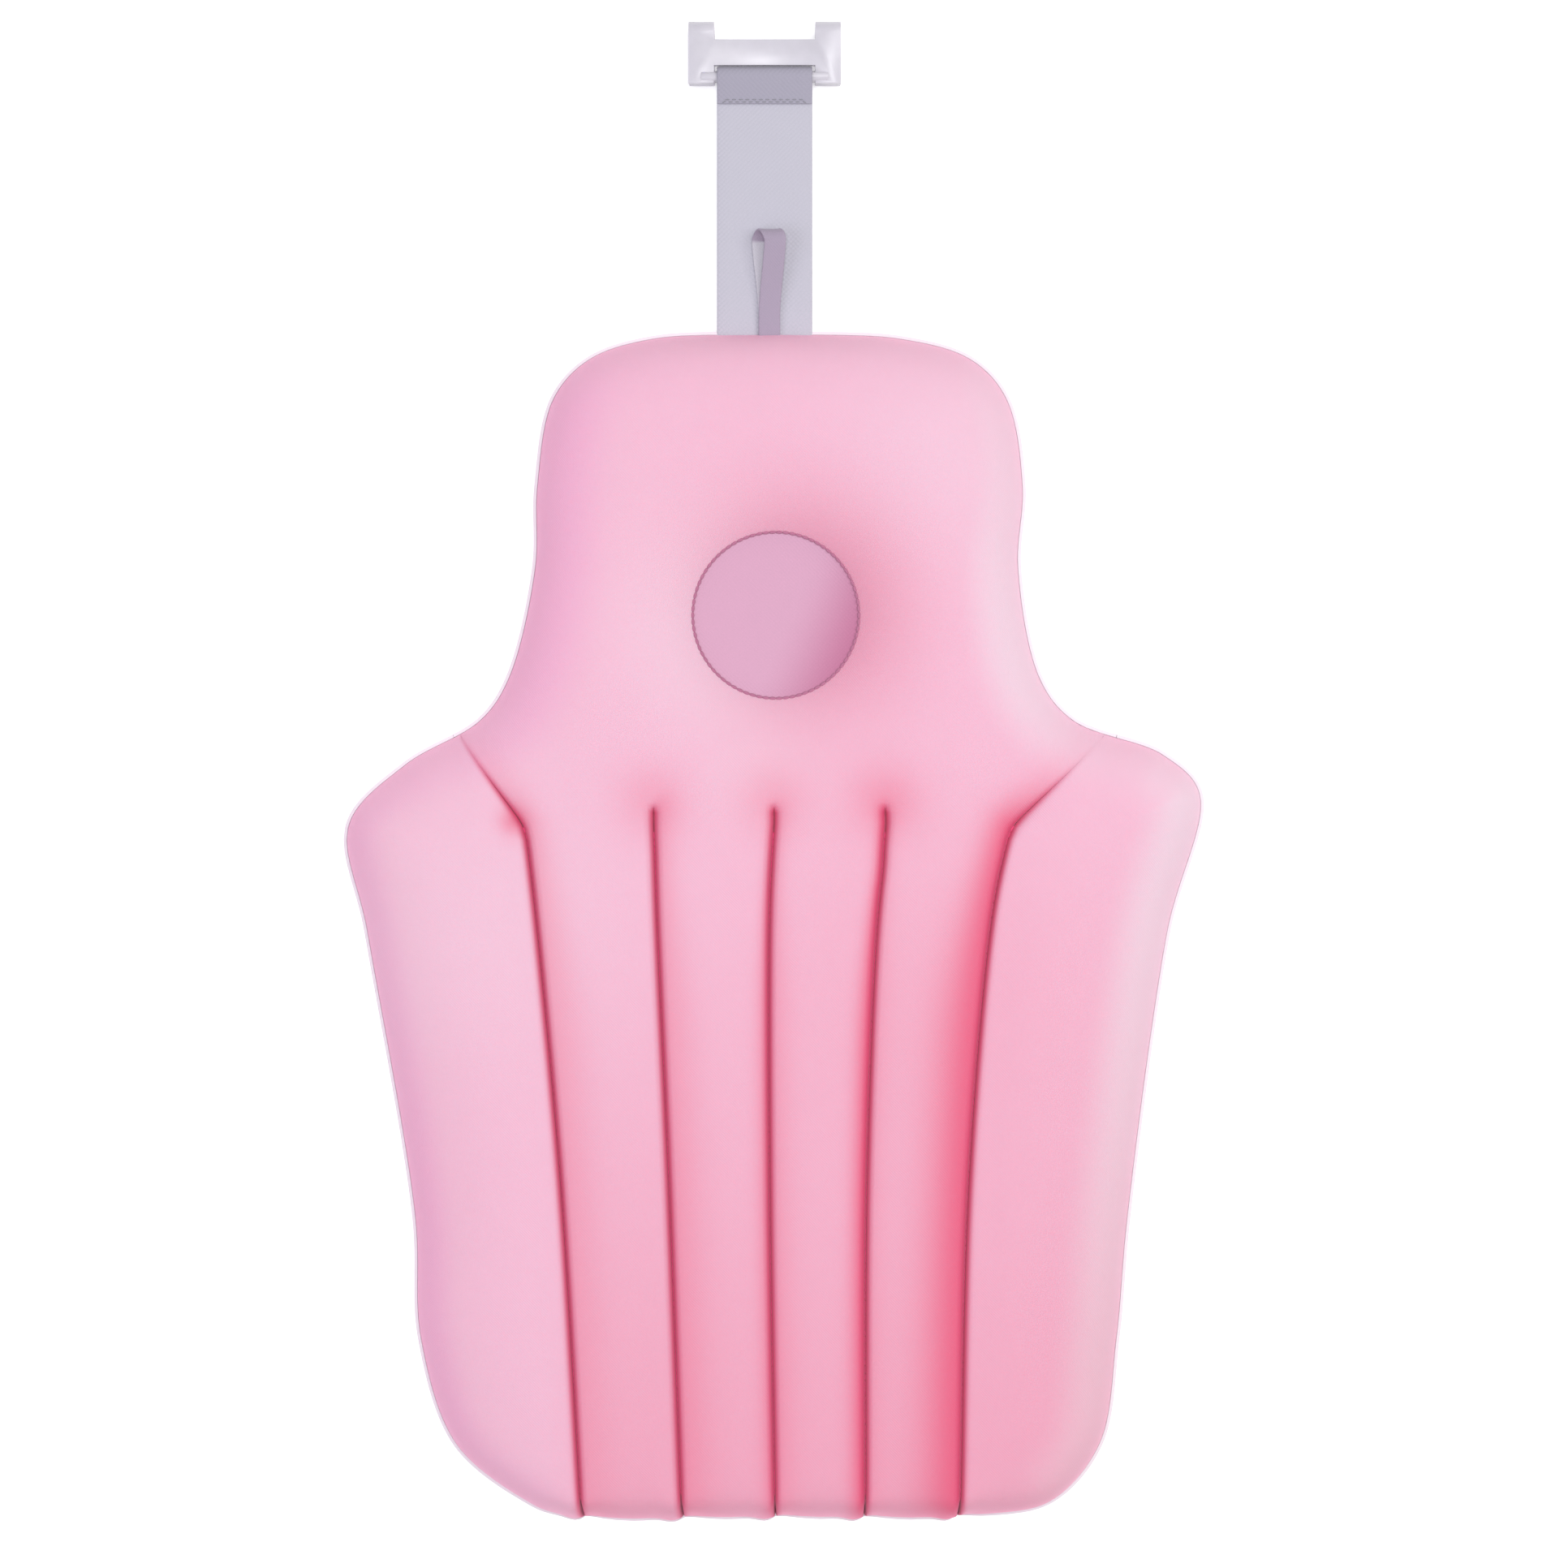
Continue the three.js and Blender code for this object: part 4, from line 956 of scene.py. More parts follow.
def cloth_material(name, colour, threads, relief, nap=0.015, nap_scale=90.0, roughness=0.85, sheen=0.2):
    """A woven cloth: its colour varies softly, and its threads stand up by the relief."""
    material, tree, shader = new_material(name)
    place = add_node(tree, "ShaderNodeUVMap", uv_map="cloth_grain")
    cloth = {"Place": place.outputs[0], "Threads per metre": threads, "Nap scale": nap_scale}
    weave = add_node(tree, "ShaderNodeGroup", cloth, node_tree=weave_group())
    raised = {"Strength": 1.0, "Distance": relief, "Height": weave.outputs["Height"]}
    bump = add_node(tree, "ShaderNodeBump", raised)
    tone = mixed(tree, weave.outputs["Nap"], scaled(colour, 1 - nap), scaled(colour, 1 + nap))
    tree.links.new(bump.outputs[0], shader.inputs["Normal"])
    tree.links.new(tone, shader.inputs["Base Color"])
    set_inputs(shader, {
        "Roughness": roughness,
        "Specular IOR Level": 0.2,
        "Sheen Weight": sheen,
        "Sheen Roughness": 0.5,
    })
    return material, tree, shader, tone


def tinted(tree, shader, tone, attribute, colour):
    """Turns the surface towards a colour as far as a mesh attribute says."""
    share = add_node(tree, "ShaderNodeAttribute", attribute_name=attribute)
    turned = mixed(tree, share.outputs["Fac"], tone, opaque(colour))
    tree.links.new(turned, shader.inputs["Base Color"])
    return turned


def front_cloth_material(colours):
    """Pink cloth with painted shade on the left edges, painted highlights, painted shade beside a seam and
    deeper painted shade along its bottom.
    """
    material, tree, shader, tone = cloth_material(
        "pink_front_cloth", colours.front, threads=900.0, relief=0.04 * MM, sheen=0.45)
    # Painted shade, painted highlights and the painted shade of the seams are mixed in from mesh attributes
    with_left_shade = tinted(tree, shader, tone, "lilac", colours.lilac)
    with_highlight = tinted(tree, shader, with_left_shade, "pale", colours.pale)
    with_seam_shade = tinted(tree, shader, with_highlight, "flush", colours.flush)
    tinted(tree, shader, with_seam_shade, "crease", colours.crease)
    set_inputs(shader, {
        "Sheen Tint": (1.0, 0.5, 0.68, 1.0),
        "Subsurface Weight": 0.12,
        "Subsurface Radius": (1.0, 0.25, 0.3),
        "Subsurface Scale": 5 * MM,
    })
    return material


def thread_material(name, colour, sheen=0.2):
    """Sewing thread, with a very fine weave for its twist."""
    return cloth_material(name, colour, threads=1500.0, relief=0.05 * MM, sheen=sheen)[0]


def hook_material(colours):
    """Milky moulded plastic with a faint unevenness in its gloss."""
    material, tree, shader = new_material("milky_plastic")
    place = add_node(tree, "ShaderNodeTexCoord")
    uneven = {"Vector": place.outputs["Object"], "Scale": 220.0, "Detail": 3.0}
    cloud = add_node(tree, "ShaderNodeTexNoise", uneven).outputs[0]
    tone = mixed(tree, cloud, scaled(colours.hook, 0.95), scaled(colours.hook, 1.05))
    gloss = add_node(tree, "ShaderNodeMapRange", {"Value": cloud, "To Min": 0.28, "To Max": 0.42})
    tree.links.new(tone, shader.inputs["Base Color"])
    tree.links.new(gloss.outputs[0], shader.inputs["Roughness"])
    set_inputs(shader, {
        "Subsurface Weight": 0.3,
        "Subsurface Radius": (1.0, 1.0, 1.0),
        "Subsurface Scale": 3 * MM,
    })
    return material


# Stitches
def stitch_tree():
    """Geometry nodes: rounded stitches laid end to end along a line."""
    name = "running_stitch"
    if name in bpy.data.node_groups:
        return bpy.data.node_groups[name]
    inputs = {
        "Line": "Geometry",
        "Pitch": "Float",
        "Stitch Length": "Float",
        "Thread Radius": "Float",
        "Thread": "Material",
    }
    group = new_group(name, "GeometryNodeTree", inputs, {"Stitches": "Geometry"})
    given = add_node(group, "NodeGroupInput").outputs
    line = add_node(group, "GeometryNodeMeshToCurve", {"Mesh": given["Line"]})
    spacing = {"Curve": line.outputs[0], "Length": given["Pitch"]}
    spaced = add_node(group, "GeometryNodeResampleCurve", spacing, mode="LENGTH")
    along = add_node(group, "GeometryNodeInputTangent")
    turn = add_node(group, "FunctionNodeAlignRotationToVector", {"Vector": along.outputs[0]}, axis="X")
    ball = add_node(group, "GeometryNodeMeshUVSphere", {"Segments": 8, "Rings": 6, "Radius": 1.0})
    half = maths(group, "MULTIPLY", given["Stitch Length"], 0.5)
    radius = given["Thread Radius"]
    size = add_node(group, "ShaderNodeCombineXYZ", {"X": half, "Y": radius, "Z": radius})
    placed = {
        "Points": spaced.outputs[0],
        "Instance": ball.outputs[0],
        "Rotation": turn.outputs[0],
        "Scale": size.outputs[0],
    }
    stitches = add_node(group, "GeometryNodeInstanceOnPoints", placed)
    real = add_node(group, "GeometryNodeRealizeInstances", {"Geometry": stitches.outputs[0]})
    coloured = {"Geometry": real.outputs[0], "Material": given["Thread"]}
    thread = add_node(group, "GeometryNodeSetMaterial", coloured)
    add_node(group, "NodeGroupOutput", {"Stitches": thread.outputs[0]})
    return group


def stitched(name, points, pitch, length, radius, thread, closed=False):
    """Stitches along a line of points, as a plain mesh."""
    mesh = bpy.data.meshes.new(name)
    count = len(points)
    edges = [(i, i + 1) for i in range(count - 1)] + ([(count - 1, 0)] if closed else [])
    mesh.from_pydata([tuple(point) for point in points], edges, [])
    obj = new_object(name, mesh, thread)
    nodes = obj.modifiers.new("stitches", "NODES")
    nodes.node_group = stitch_tree()
    values = {"Pitch": pitch, "Stitch Length": length, "Thread Radius": radius, "Thread": thread}
    for item in nodes.node_group.interface.items_tree:
        if item.name in values:
            nodes[item.identifier] = values[item.name]
    return settle(obj)


# Ribbons
def ribbon(name, path, across, width, thickness, material):
    """A flat tape with rounded edges swept along a path; across gives its sideways direction."""
    path = np.asarray(path, float)
    steps = np.gradient(path, axis=0)
    steps /= np.linalg.norm(steps, axis=1)[:, None]
    side = np.broadcast_to(np.asarray(across, float), path.shape)
    face = np.cross(side, steps)
    face /= np.linalg.norm(face, axis=1)[:, None]
    side = np.cross(steps, face)
    half, round_off = width / 2, thickness / 2
    flat = np.linspace(-half + round_off, half - round_off, RIBBON_FLAT_POINTS)
    arc = np.linspace(-math.pi / 2, math.pi / 2, RIBBON_EDGE_POINTS)[1:-1]
    section = [(u, -round_off) for u in flat]
    section += [(half - round_off + round_off * math.cos(a), round_off * math.sin(a)) for a in arc]
    section += [(u, round_off) for u in flat[::-1]]
    section += [(-half + round_off - round_off * math.cos(a), -round_off * math.sin(a)) for a in arc]
    section = np.array(section)
    rings = path[:, None] + section[None, :, :1] * side[:, None] + section[None, :, 1:] * face[:, None]
    count = len(section)
    index = np.arange(len(path) * count).reshape(len(path), count)
    after = np.roll(index, -1, axis=1)
    quads = np.stack([index[:-1], after[:-1], after[1:], index[1:]], -1).reshape(-1, 4).tolist()
    caps = [index[0][::-1].tolist(), index[-1].tolist()]
    mesh = bpy.data.meshes.new(name)
    mesh.from_pydata(rings.reshape(-1, 3).tolist(), [], quads + caps)
    run = np.pad(np.linalg.norm(np.diff(path, axis=0), axis=1).cumsum(), (1, 0))
    grain = np.stack(np.broadcast_arrays(section[:, 0], run[:, None]), -1)
    add_grain(mesh, grain.reshape(-1, 2))
    mesh.shade_smooth()
    mesh.set_sharp_from_angle(angle=RIBBON_SMOOTH_ANGLE)
    return new_object(name, mesh, material)


# Pieces
def scene_data(context):
    """The plan, with the sizes it was made from, and the colours for an operator."""
    return Plan(context.scene.pillow_sizes), context.scene.pillow_colours


def fold_line(name):
    """A point on a wing's fold and the level direction that leads from it out into the wing."""
    joint = next(j for j in frame["joints"] if j["name"] == f"{name}_wing_fold")
    along = Vector(joint["axis"]).normalized()
    outward = along.cross(Vector((0, 0, 1))).normalized()
    if outward.x * SIDES[name] < 0:
        outward.negate()
    return Vector(joint["pos_m"]), outward


def bend_with_wing(obj, name):
    """Looks up a wing's fold line, then bakes the object's placement into its mesh."""
    start, outward = fold_line(name)
    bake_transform(obj)


class PILLOW_OT_front_cloth(bpy.types.Operator):
    """Makes the stuffed front of the centre and of both wings"""

    bl_idname = "pillow.front_cloth"
    bl_label = "Front cloth"

    def execute(self, context):
        plan, colours = scene_data(context)
        material = front_cloth_material(colours)
        stuffing = stuffing_push(plan)
        rim = plan.sizes.rim
        levels = row_levels(plan, plan.top - rim, plan.hem + rim)
        split = recess_split(plan, levels, plan.recess_radius)
        columns = centre_columns(plan, levels, plan.cloth_edge, split)
        in_recess = np.abs(levels - plan.recess.y) < plan.recess_radius + TINY
        missing = np.zeros((len(levels) - 1, columns.shape[1] - 1), bool)
        missing[:, 2 * ROLL_COLUMNS + 1] = in_recess[:-1] & in_recess[1:]
        rows = hem_rows(plan, levels, columns, plan.cloth_edge)
        centre = self.panel(plan, "centre_front_cloth", rows, columns, missing, material, stuffing, ROLLS)
        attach(centre, "pad")
        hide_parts("centre_front_cover")
        for name in SIDES:
            levels = wing_levels(plan, name, plan.cloth_edge)
            columns = wing_columns(plan, name, levels, plan.cloth_edge)
            rows = level_rows(levels, columns)
            wing = self.panel(plan, f"{name}_wing_front_cloth", rows, columns, None, material, stuffing, 1)
            bend_with_wing(wing, name)
            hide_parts(f"{name}_wing_front_cover")
        return {"FINISHED"}

    def panel(self, plan, name, y, columns, missing, material, stuffing, rolls):
        """One stuffed panel with its painted shade and highlights and its cloth thickness."""
        points = with_heights(plan, columns, y, front_height(plan, columns, y))
        mesh = grid_mesh(name, pushed(points, stuffing), missing, rolls=rolls)
        # Painted shade along and beside the seams
        crease, flush = seam_shading(plan, columns, y)
        add_values(mesh, "crease", crease)
        add_values(mesh, "flush", flush)
        # Painted shade on the left edges, and painted highlights
        lilac, pale = edge_lighting(plan, columns, y)
        add_values(mesh, "lilac", lilac)
        add_values(mesh, "pale", pale)
        obj = thicken(new_object(name, mesh, material), plan.sizes.cloth)
        return obj


class PILLOW_OT_back_cloth(bpy.types.Operator):
    """Makes the pale back of the centre and of both wings, turned up to the front's edge"""

    bl_idname = "pillow.back_cloth"
    bl_label = "Back cloth"

    edge_reach = 0.5 * MM
    lip_gap = 0.2 * MM
    lip_rise = 0.5 * MM

    def execute(self, context):
        plan, colours = scene_data(context)
        material = cloth_material("pale_back_cloth", colours.back, threads=700.0, relief=0.06 * MM)[0]
        levels = row_levels(plan, plan.top, plan.hem)
        columns = centre_columns(plan, levels, plan.outline, np.full(len(levels), SEAM_SETBACK))
        rows = hem_rows(plan, levels, columns, plan.outline)
        centre = self.panel(plan, "centre_back_cloth", rows, columns, material)
        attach(centre, "pad")
        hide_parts("centre_back_cover")
        for name in SIDES:
            levels = wing_levels(plan, name, plan.outline)
            columns = wing_columns(plan, name, levels, plan.outline)
            rows = level_rows(levels, columns)
            wing = self.panel(plan, f"{name}_wing_back_cloth", rows, columns, material)
            bend_with_wing(wing, name)
            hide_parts(f"{name}_wing_back_cover")
        return {"FINISHED"}

    def panel(self, plan, name, y, columns, material):
        """One back panel with the lip that shows round the front, and its cloth thickness."""
        points = with_heights(plan, columns, y, back_height(plan, columns, y))
        mesh = grid_mesh(name, points, None, upward=False)
        self.add_lip(plan, mesh)
        obj = thicken(new_object(name, mesh, material), plan.sizes.cloth)
        return obj

    def add_lip(self, plan, mesh):
        """Folds the back in over the edge, as far as the front cloth."""
        lip = bmesh.new()
        lip.from_mesh(mesh)
        grain = lip.loops.layers.uv["cloth_grain"]
        edges = [edge for edge in lip.edges if edge.is_boundary]
        ends = list({vert for edge in edges for vert in edge.verts})
        x, y = np.array([vert.co[:2] for vert in ends]).T
        gap, heading = nearest_on(plan.whole_outline, x, y + hem_drop(plan, x, y))
        width, rise = plan.sizes.rim - self.lip_gap, Vector((0, 0, self.lip_rise))
        turned_in = {}
        for vert, away, (ahead_x, ahead_y) in zip(ends, gap, heading):
            if away < self.edge_reach:
                inward = Vector((-ahead_y, ahead_x, 0))
                turned_in[vert] = lip.verts.new(vert.co + inward * width + rise)
        for edge in edges:
            if all(vert in turned_in for vert in edge.verts):
                loop = edge.link_loops[0]
                first, second = loop.vert, loop.link_loop_next.vert
                face = lip.faces.new((second, first, turned_in[first], turned_in[second]))
                for corner in face.loops:
                    corner[grain].uv = loop[grain].uv
        lip.to_mesh(mesh)
        lip.free()


class PILLOW_OT_padding(bpy.types.Operator):
    """Makes the fibre fillings inside the head, the four channels and both wings"""

    bl_idname = "pillow.padding"
    bl_label = "Padding"

    inset = 4 * MM
    under = 5 * MM
    floor = 3 * MM
    split_rise = 4 * MM
    wing_tip_gap = 20 * MM
    long_rows = 44
    channel_rows = 40

    def execute(self, context):
        plan, colours = scene_data(context)
        material = cloth_material("white_fibre", colours.padding, threads=300.0, relief=0.4 * MM, nap=0.08)[0]
        split_y = plan.top - CHANNEL_DROP + self.split_rise
        head_levels = np.linspace(plan.top - 2 * self.inset, split_y + self.inset / 2, self.long_rows)
        left, right = plan.centre_edges(head_levels, plan.cloth_edge)
        self.body(plan, "head_padding", head_levels, left, right, material, "head_filling", None)
        levels = np.linspace(split_y - self.inset / 2, plan.hem + 2 * self.inset, self.channel_rows)
        left, right = plan.centre_edges(levels, plan.cloth_edge)
        seams = [left, *(x_at(line, levels) for line in plan.channels), right]
        for number, (start, end) in enumerate(zip(seams, seams[1:]), 1):
            name = f"channel_padding_{number}"
            self.body(plan, name, levels, start, end, material, f"channel_filling_{number}", None)
        for name in SIDES:
            levels = wing_levels(plan, name, plan.cloth_edge)
            first, last = levels[0] - self.wing_tip_gap, levels[-1] + 2 * self.inset
            levels = np.linspace(first, last, self.long_rows)
            ends = plan.wing_edges(name, levels, plan.cloth_edge)
            start, end = ends if name == "right" else ends[::-1]
            node = f"{name}_wing_filling"
            self.body(plan, f"{name}_wing_padding", levels, start, end, material, node, name)
        return {"FINISHED"}

    def body(self, plan, name, levels, start, end, material, node, wing):
        """One closed filling that stays inside its covers."""
        stations = np.linspace(0, 1, 3 + round((end - start).max() / self.inset))
        first, last = start + self.inset, end - self.inset
        columns = first[:, None] + (last - first)[:, None] * stations
        y = level_rows(levels, columns)
        top = front_height(plan, columns, y) - self.under
        beside_recess = np.hypot(columns - plan.recess.x, y - plan.recess.y) < plan.recess_radius + self.inset
        dish = plan.recess_rim - plan.sizes.recess_depth - self.under
        top = np.where(beside_recess, np.minimum(top, dish), top)
        bottom = np.minimum(back_height(plan, columns, y) + self.floor, top - self.floor)
        upper, lower = (with_heights(plan, columns, y, heights) for heights in (top, bottom))
        obj = new_object(name, closed_between(name, upper, lower), material)
        if wing:
            bend_with_wing(obj, wing)
        else:
            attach(obj, "pad")
        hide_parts(node)


class PILLOW_OT_head_recess(bpy.types.Operator):
    """Makes the round dished panel in the head section and the stitched ring round it"""

    bl_idname = "pillow.head_recess"
    bl_label = "Head recess"

    turn_count = 96
    ring_count = 24
    panel_gap = 0.3 * MM
    dish_power = 4
    shade_start = 0.1
    shade_end = 1.1
    shade_heading = (0.9, -0.4)
    stitch_pitch = 2.8 * MM
    stitch_length = 3.2 * MM
    stitch_lift = 0.2 * MM
    thread_radius = 0.75 * MM

    def execute(self, context):
        plan, colours = scene_data(context)
        turns = np.linspace(0, math.tau, self.turn_count, endpoint=False)
        self.panel(plan, colours, turns)
        self.ring(plan, colours, turns)
        return {"FINISHED"}

    def panel(self, plan, colours, turns):
        """The dished cloth, with painted shade towards its lower right."""
        material, tree, shader, tone = cloth_material(
            "lilac_recess_cloth", colours.recess, threads=600.0, relief=0.08 * MM)
        tinted(tree, shader, tone, "flush", colours.recess_shade)
        radius = plan.recess_radius - self.panel_gap
        mesh = self.dish(plan, radius, turns)
        # Painted shade growing towards the panel's lower right
        places = np.array([vert.co[:2] for vert in mesh.vertices]) - plan.recess
        start, end = self.shade_start * radius, self.shade_end * radius
        add_values(mesh, "flush", smooth_step(start, end, places @ self.shade_heading))
        disc = thicken(new_object("recess_panel", mesh, material), plan.sizes.cloth)
        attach(disc, "pad")
        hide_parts("head_recess_panel")

    def dish(self, plan, radius, turns):
        """Rings of cloth that rise from the middle of the recess to its edge."""
        depth = plan.sizes.recess_depth
        middle = Vector((plan.recess.x, plan.recess.y, plan.recess_rim - depth))
        panel = bmesh.new()
        grain = panel.loops.layers.uv.new("cloth_grain")
        hub = panel.verts.new(middle)
        rings = []
        for share in np.linspace(0, 1, self.ring_count + 1)[1:]:
            away, rise = radius * share, depth * share**self.dish_power
            places = [(away * math.cos(turn), away * math.sin(turn), rise) for turn in turns]
            rings.append([panel.verts.new(middle + Vector(place)) for place in places])
        for i in range(self.turn_count):
            j = (i + 1) % self.turn_count
            panel.faces.new((hub, rings[0][i], rings[0][j]))
            for inner, outer in zip(rings, rings[1:]):
                panel.faces.new((inner[i], outer[i], outer[j], inner[j]))
        for face in panel.faces:
            for corner in face.loops:
                corner[grain].uv = corner.vert.co.xy
        mesh = bpy.data.meshes.new("recess_panel")
        panel.to_mesh(mesh)
        panel.free()
        return mesh

    def ring(self, plan, colours, turns):
        """The stitches that hold the panel in its opening."""
        thread = thread_material("muted_rose_thread", colours.ring)
        middle, radius = plan.recess, plan.recess_radius
        level = plan.recess_rim + self.stitch_lift
        circle = [
            (middle.x + radius * math.cos(turn), middle.y + radius * math.sin(turn), level)
            for turn in turns
        ]
        pitch, length = self.stitch_pitch, self.stitch_length
        ring = stitched("recess_stitches", circle, pitch, length, self.thread_radius, thread, closed=True)
        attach(ring, "pad")
        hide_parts("head_recess_thread")


class PILLOW_OT_seam_stitches(bpy.types.Operator):
    """Makes the stitches at the bottom of the channel seams and of the wing seams"""

    bl_idname = "pillow.seam_stitches"
    bl_label = "Seam stitches"

    overlap = 1.1
    hem_clearance = 3 * MM

    def execute(self, context):
        plan, colours = scene_data(context)
        pitch, radius = plan.sizes.stitch_pitch, plan.sizes.thread_radius
        thread = thread_material("rose_thread", colours.thread, sheen=0.0)
        names = [f"{name}_wing" for name in SIDES] + ["channel"] * len(plan.channels)
        numbers = [""] * len(SIDES) + [f"_{number}" for number in range(1, len(plan.channels) + 1)]
        for seam, name, number in zip(plan.seams, names, numbers):
            points = [
                (x, y, seam_floor(plan, seam, y) + radius / 2)
                for x, y in seam.line
                if plan.hem + self.hem_clearance < y <= max(plan.kink_y, seam.turn)
            ]
            row = stitched(f"{name}_stitches{number}", points, pitch, self.overlap * pitch, radius, thread)
            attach(row, "pad")
            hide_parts(f"{name}_seam_thread{number}")
        return {"FINISHED"}


class PILLOW_OT_hanging_strap(bpy.types.Operator):
    """Makes the webbing strap, folded round the hook's bar, and its row of tacking stitches"""

    bl_idname = "pillow.hanging_strap"
    bl_label = "Hanging strap"

    sewn_points = 6
    root_start = 1 * MM
    root_end = 16 * MM
    root_points = 12
    straight_start = 20 * MM
    straight_points = 22
    wrap = math.radians(100)
    wrap_points = 19
    lead_points = 4
    flap_gap = 0.1 * MM
    flap_overhang = 0.3 * MM
    flap_length = 2.5 * MM
    bend_length = 12 * MM
    zigzag_step = 1.4 * MM
    zigzag_reach = 0.5 * MM
    stitch_pitch = 1.7 * MM
    stitch_length = 1.8 * MM
    stitch_lift = 0.1 * MM
    thread_radius = 0.3 * MM
    thread_shade = 0.55

    def execute(self, context):
        colours = context.scene.pillow_colours
        low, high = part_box("hanging_strap")
        sewn_low, sewn_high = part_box("strap_sewn_end")
        root = sewn_high.y
        thickness = sewn_high.z - sewn_low.z
        level = (sewn_low.z + sewn_high.z) / 2
        flap_z = level + thickness + self.flap_gap
        flap_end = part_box("strap_bar_tack")[0].y - self.flap_overhang
        parting = flap_end + self.flap_length
        run_levels = np.concatenate([
            np.linspace(sewn_low.y, root, self.sewn_points),
            np.linspace(root + self.root_start, root + self.root_end, self.root_points),
            np.linspace(root + self.straight_start, parting, self.straight_points),
        ])
        run = [(y, level) for y in run_levels]
        outer = (high.z - low.z) / 2
        radius = outer - thickness / 2
        bar_y, bar_z = high.y - outer, (high.z + low.z) / 2
        turns = np.linspace(-self.wrap, self.wrap, self.wrap_points)
        bend = [(bar_y + radius * math.cos(turn), bar_z + radius * math.sin(turn)) for turn in turns]
        flap = [(parting, flap_z), (flap_end, flap_z)]
        run += [*smooth_line([run[-1], bend[0]], self.lead_points)[1:-1]]
        flap = [*smooth_line([bend[-1], flap[0]], self.lead_points)[1:-1], *flap]
        middle_x = (low.x + high.x) / 2
        path = np.array([(middle_x, y, z) for y, z in [*run, *bend, *flap]])
        strap = ribbon(
            "strap_webbing", path, (1, 0, 0), high.x - low.x, thickness, self.webbing_material(colours))
        ring_size = len(strap.data.vertices) // len(path)
        # Painted shade on the folded-back flap
        on_flap = np.arange(len(path)) >= len(run) + len(bend) // 2
        add_values(strap.data, "doubled", np.repeat(on_flap, ring_size))
        # Painted shadow on the fold inside the hook's slot
        in_slot = smooth_step(bar_y + radius / 2, high.y, path[:, 1])
        add_values(strap.data, "in_slot", np.repeat(in_slot, ring_size))
        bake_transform(strap)
        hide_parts("hanging_strap", "strap_sewn_end")
        self.tack(colours, flap_z + thickness / 2 + self.stitch_lift)
        return {"FINISHED"}

    def webbing_material(self, colours):
        """Grey webbing, with painted shade on the folded-back flap and a darker painted shadow on its fold in
        the hook's slot.
        """
        material, tree, shader, tone = cloth_material(
            "grey_webbing", colours.webbing, threads=500.0, relief=0.18 * MM, nap_scale=60.0)
        with_flap_shade = tinted(tree, shader, tone, "doubled", colours.flap)
        tinted(tree, shader, with_flap_shade, "in_slot", colours.slot)
        return material

    def tack(self, colours, level):
        """The zigzag stitches across the folded end."""
        low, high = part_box("strap_bar_tack")
        middle_y = (low.y + high.y) / 2
        zigzag = [
            (x, middle_y + (self.zigzag_reach if number % 2 else -self.zigzag_reach), level)
            for number, x in enumerate(np.arange(low.x, high.x, self.zigzag_step))
        ]
        grey = thread_material("grey_thread", scaled(colours.webbing, self.thread_shade)[:3])
        pitch, length = self.stitch_pitch, self.stitch_length
        tack = stitched("strap_tack_stitches", zigzag, pitch, length, self.thread_radius, grey)
        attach(tack, "strap")
        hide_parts("strap_bar_tack")


class PILLOW_OT_drying_loop(bpy.types.Operator):
    """Makes the small folded tape in front of the strap"""

    bl_idname = "pillow.drying_loop"
    bl_label = "Drying loop"

    wrap = math.radians(95)
    wrap_points = 17
    leg_points = 10
    leg_turn = 12 * MM
    leg_lift = 1 * MM
    lean_start = 4 * MM
    back_lean = -3 * MM
    front_lean = 2.6 * MM
    tape_share = 0.9
    bend_length = 8 * MM

    def execute(self, context):
        low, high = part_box("drying_loop")
        sewn_low, sewn_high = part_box("loop_sewn_end")
        end, root = sewn_low.y, sewn_high.y
        tape = (sewn_high.z - sewn_low.z) / 2
        lower, upper = sewn_low.z + tape / 2, sewn_high.z - tape / 2
        radius = (high.z - low.z - tape) / 2
        tip_y, tip_z = high.y - radius - tape / 2, (low.z + high.z) / 2
        turns = np.linspace(-self.wrap, self.wrap, self.wrap_points)
        bend = [(tip_y + radius * math.cos(turn), tip_z + radius * math.sin(turn)) for turn in turns]
        leg_y = root + self.leg_turn
        back_points = [(end, lower), (root, lower), (leg_y, lower), bend[0]]
        front_points = [bend[-1], (leg_y, upper + self.leg_lift), (root, upper), (end, upper)]
        back_leg = smooth_line(back_points, self.leg_points)
        front_leg = smooth_line(front_points, self.leg_points)
        profile = np.vstack([back_leg, bend[1:-1], front_leg])
        lean = np.concatenate([
            np.full(len(back_leg), self.back_lean),
            np.linspace(self.back_lean, self.front_lean, len(bend) - 2),
            np.full(len(front_leg), self.front_lean),
        ])
        rise = smooth_step(root + self.lean_start, high.y, profile[:, 0])
        x = (low.x + high.x) / 2
        path = np.column_stack([x + rise * lean, profile])
        material = self.tape_material(context.scene.pillow_colours)
        loop = ribbon(
            "drying_loop_tape", path, (1, 0, 0), high.x - low.x, self.tape_share * tape, material)
        # Painted light on the back leg
        on_back_leg = np.arange(len(path)) < len(back_leg)
        ring_size = len(loop.data.vertices) // len(path)
        add_values(loop.data, "back_leg", np.repeat(on_back_leg, ring_size))
        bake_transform(loop)
        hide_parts("drying_loop", "loop_sewn_end")
        return {"FINISHED"}

    def tape_material(self, colours):
        """Mauve tape, with painted light that makes the leg behind lighter."""
        material, tree, shader, tone = cloth_material(
            "mauve_tape", colours.loop, threads=800.0, relief=0.1 * MM)
        tinted(tree, shader, tone, "back_leg", colours.back_leg_light)
        return material


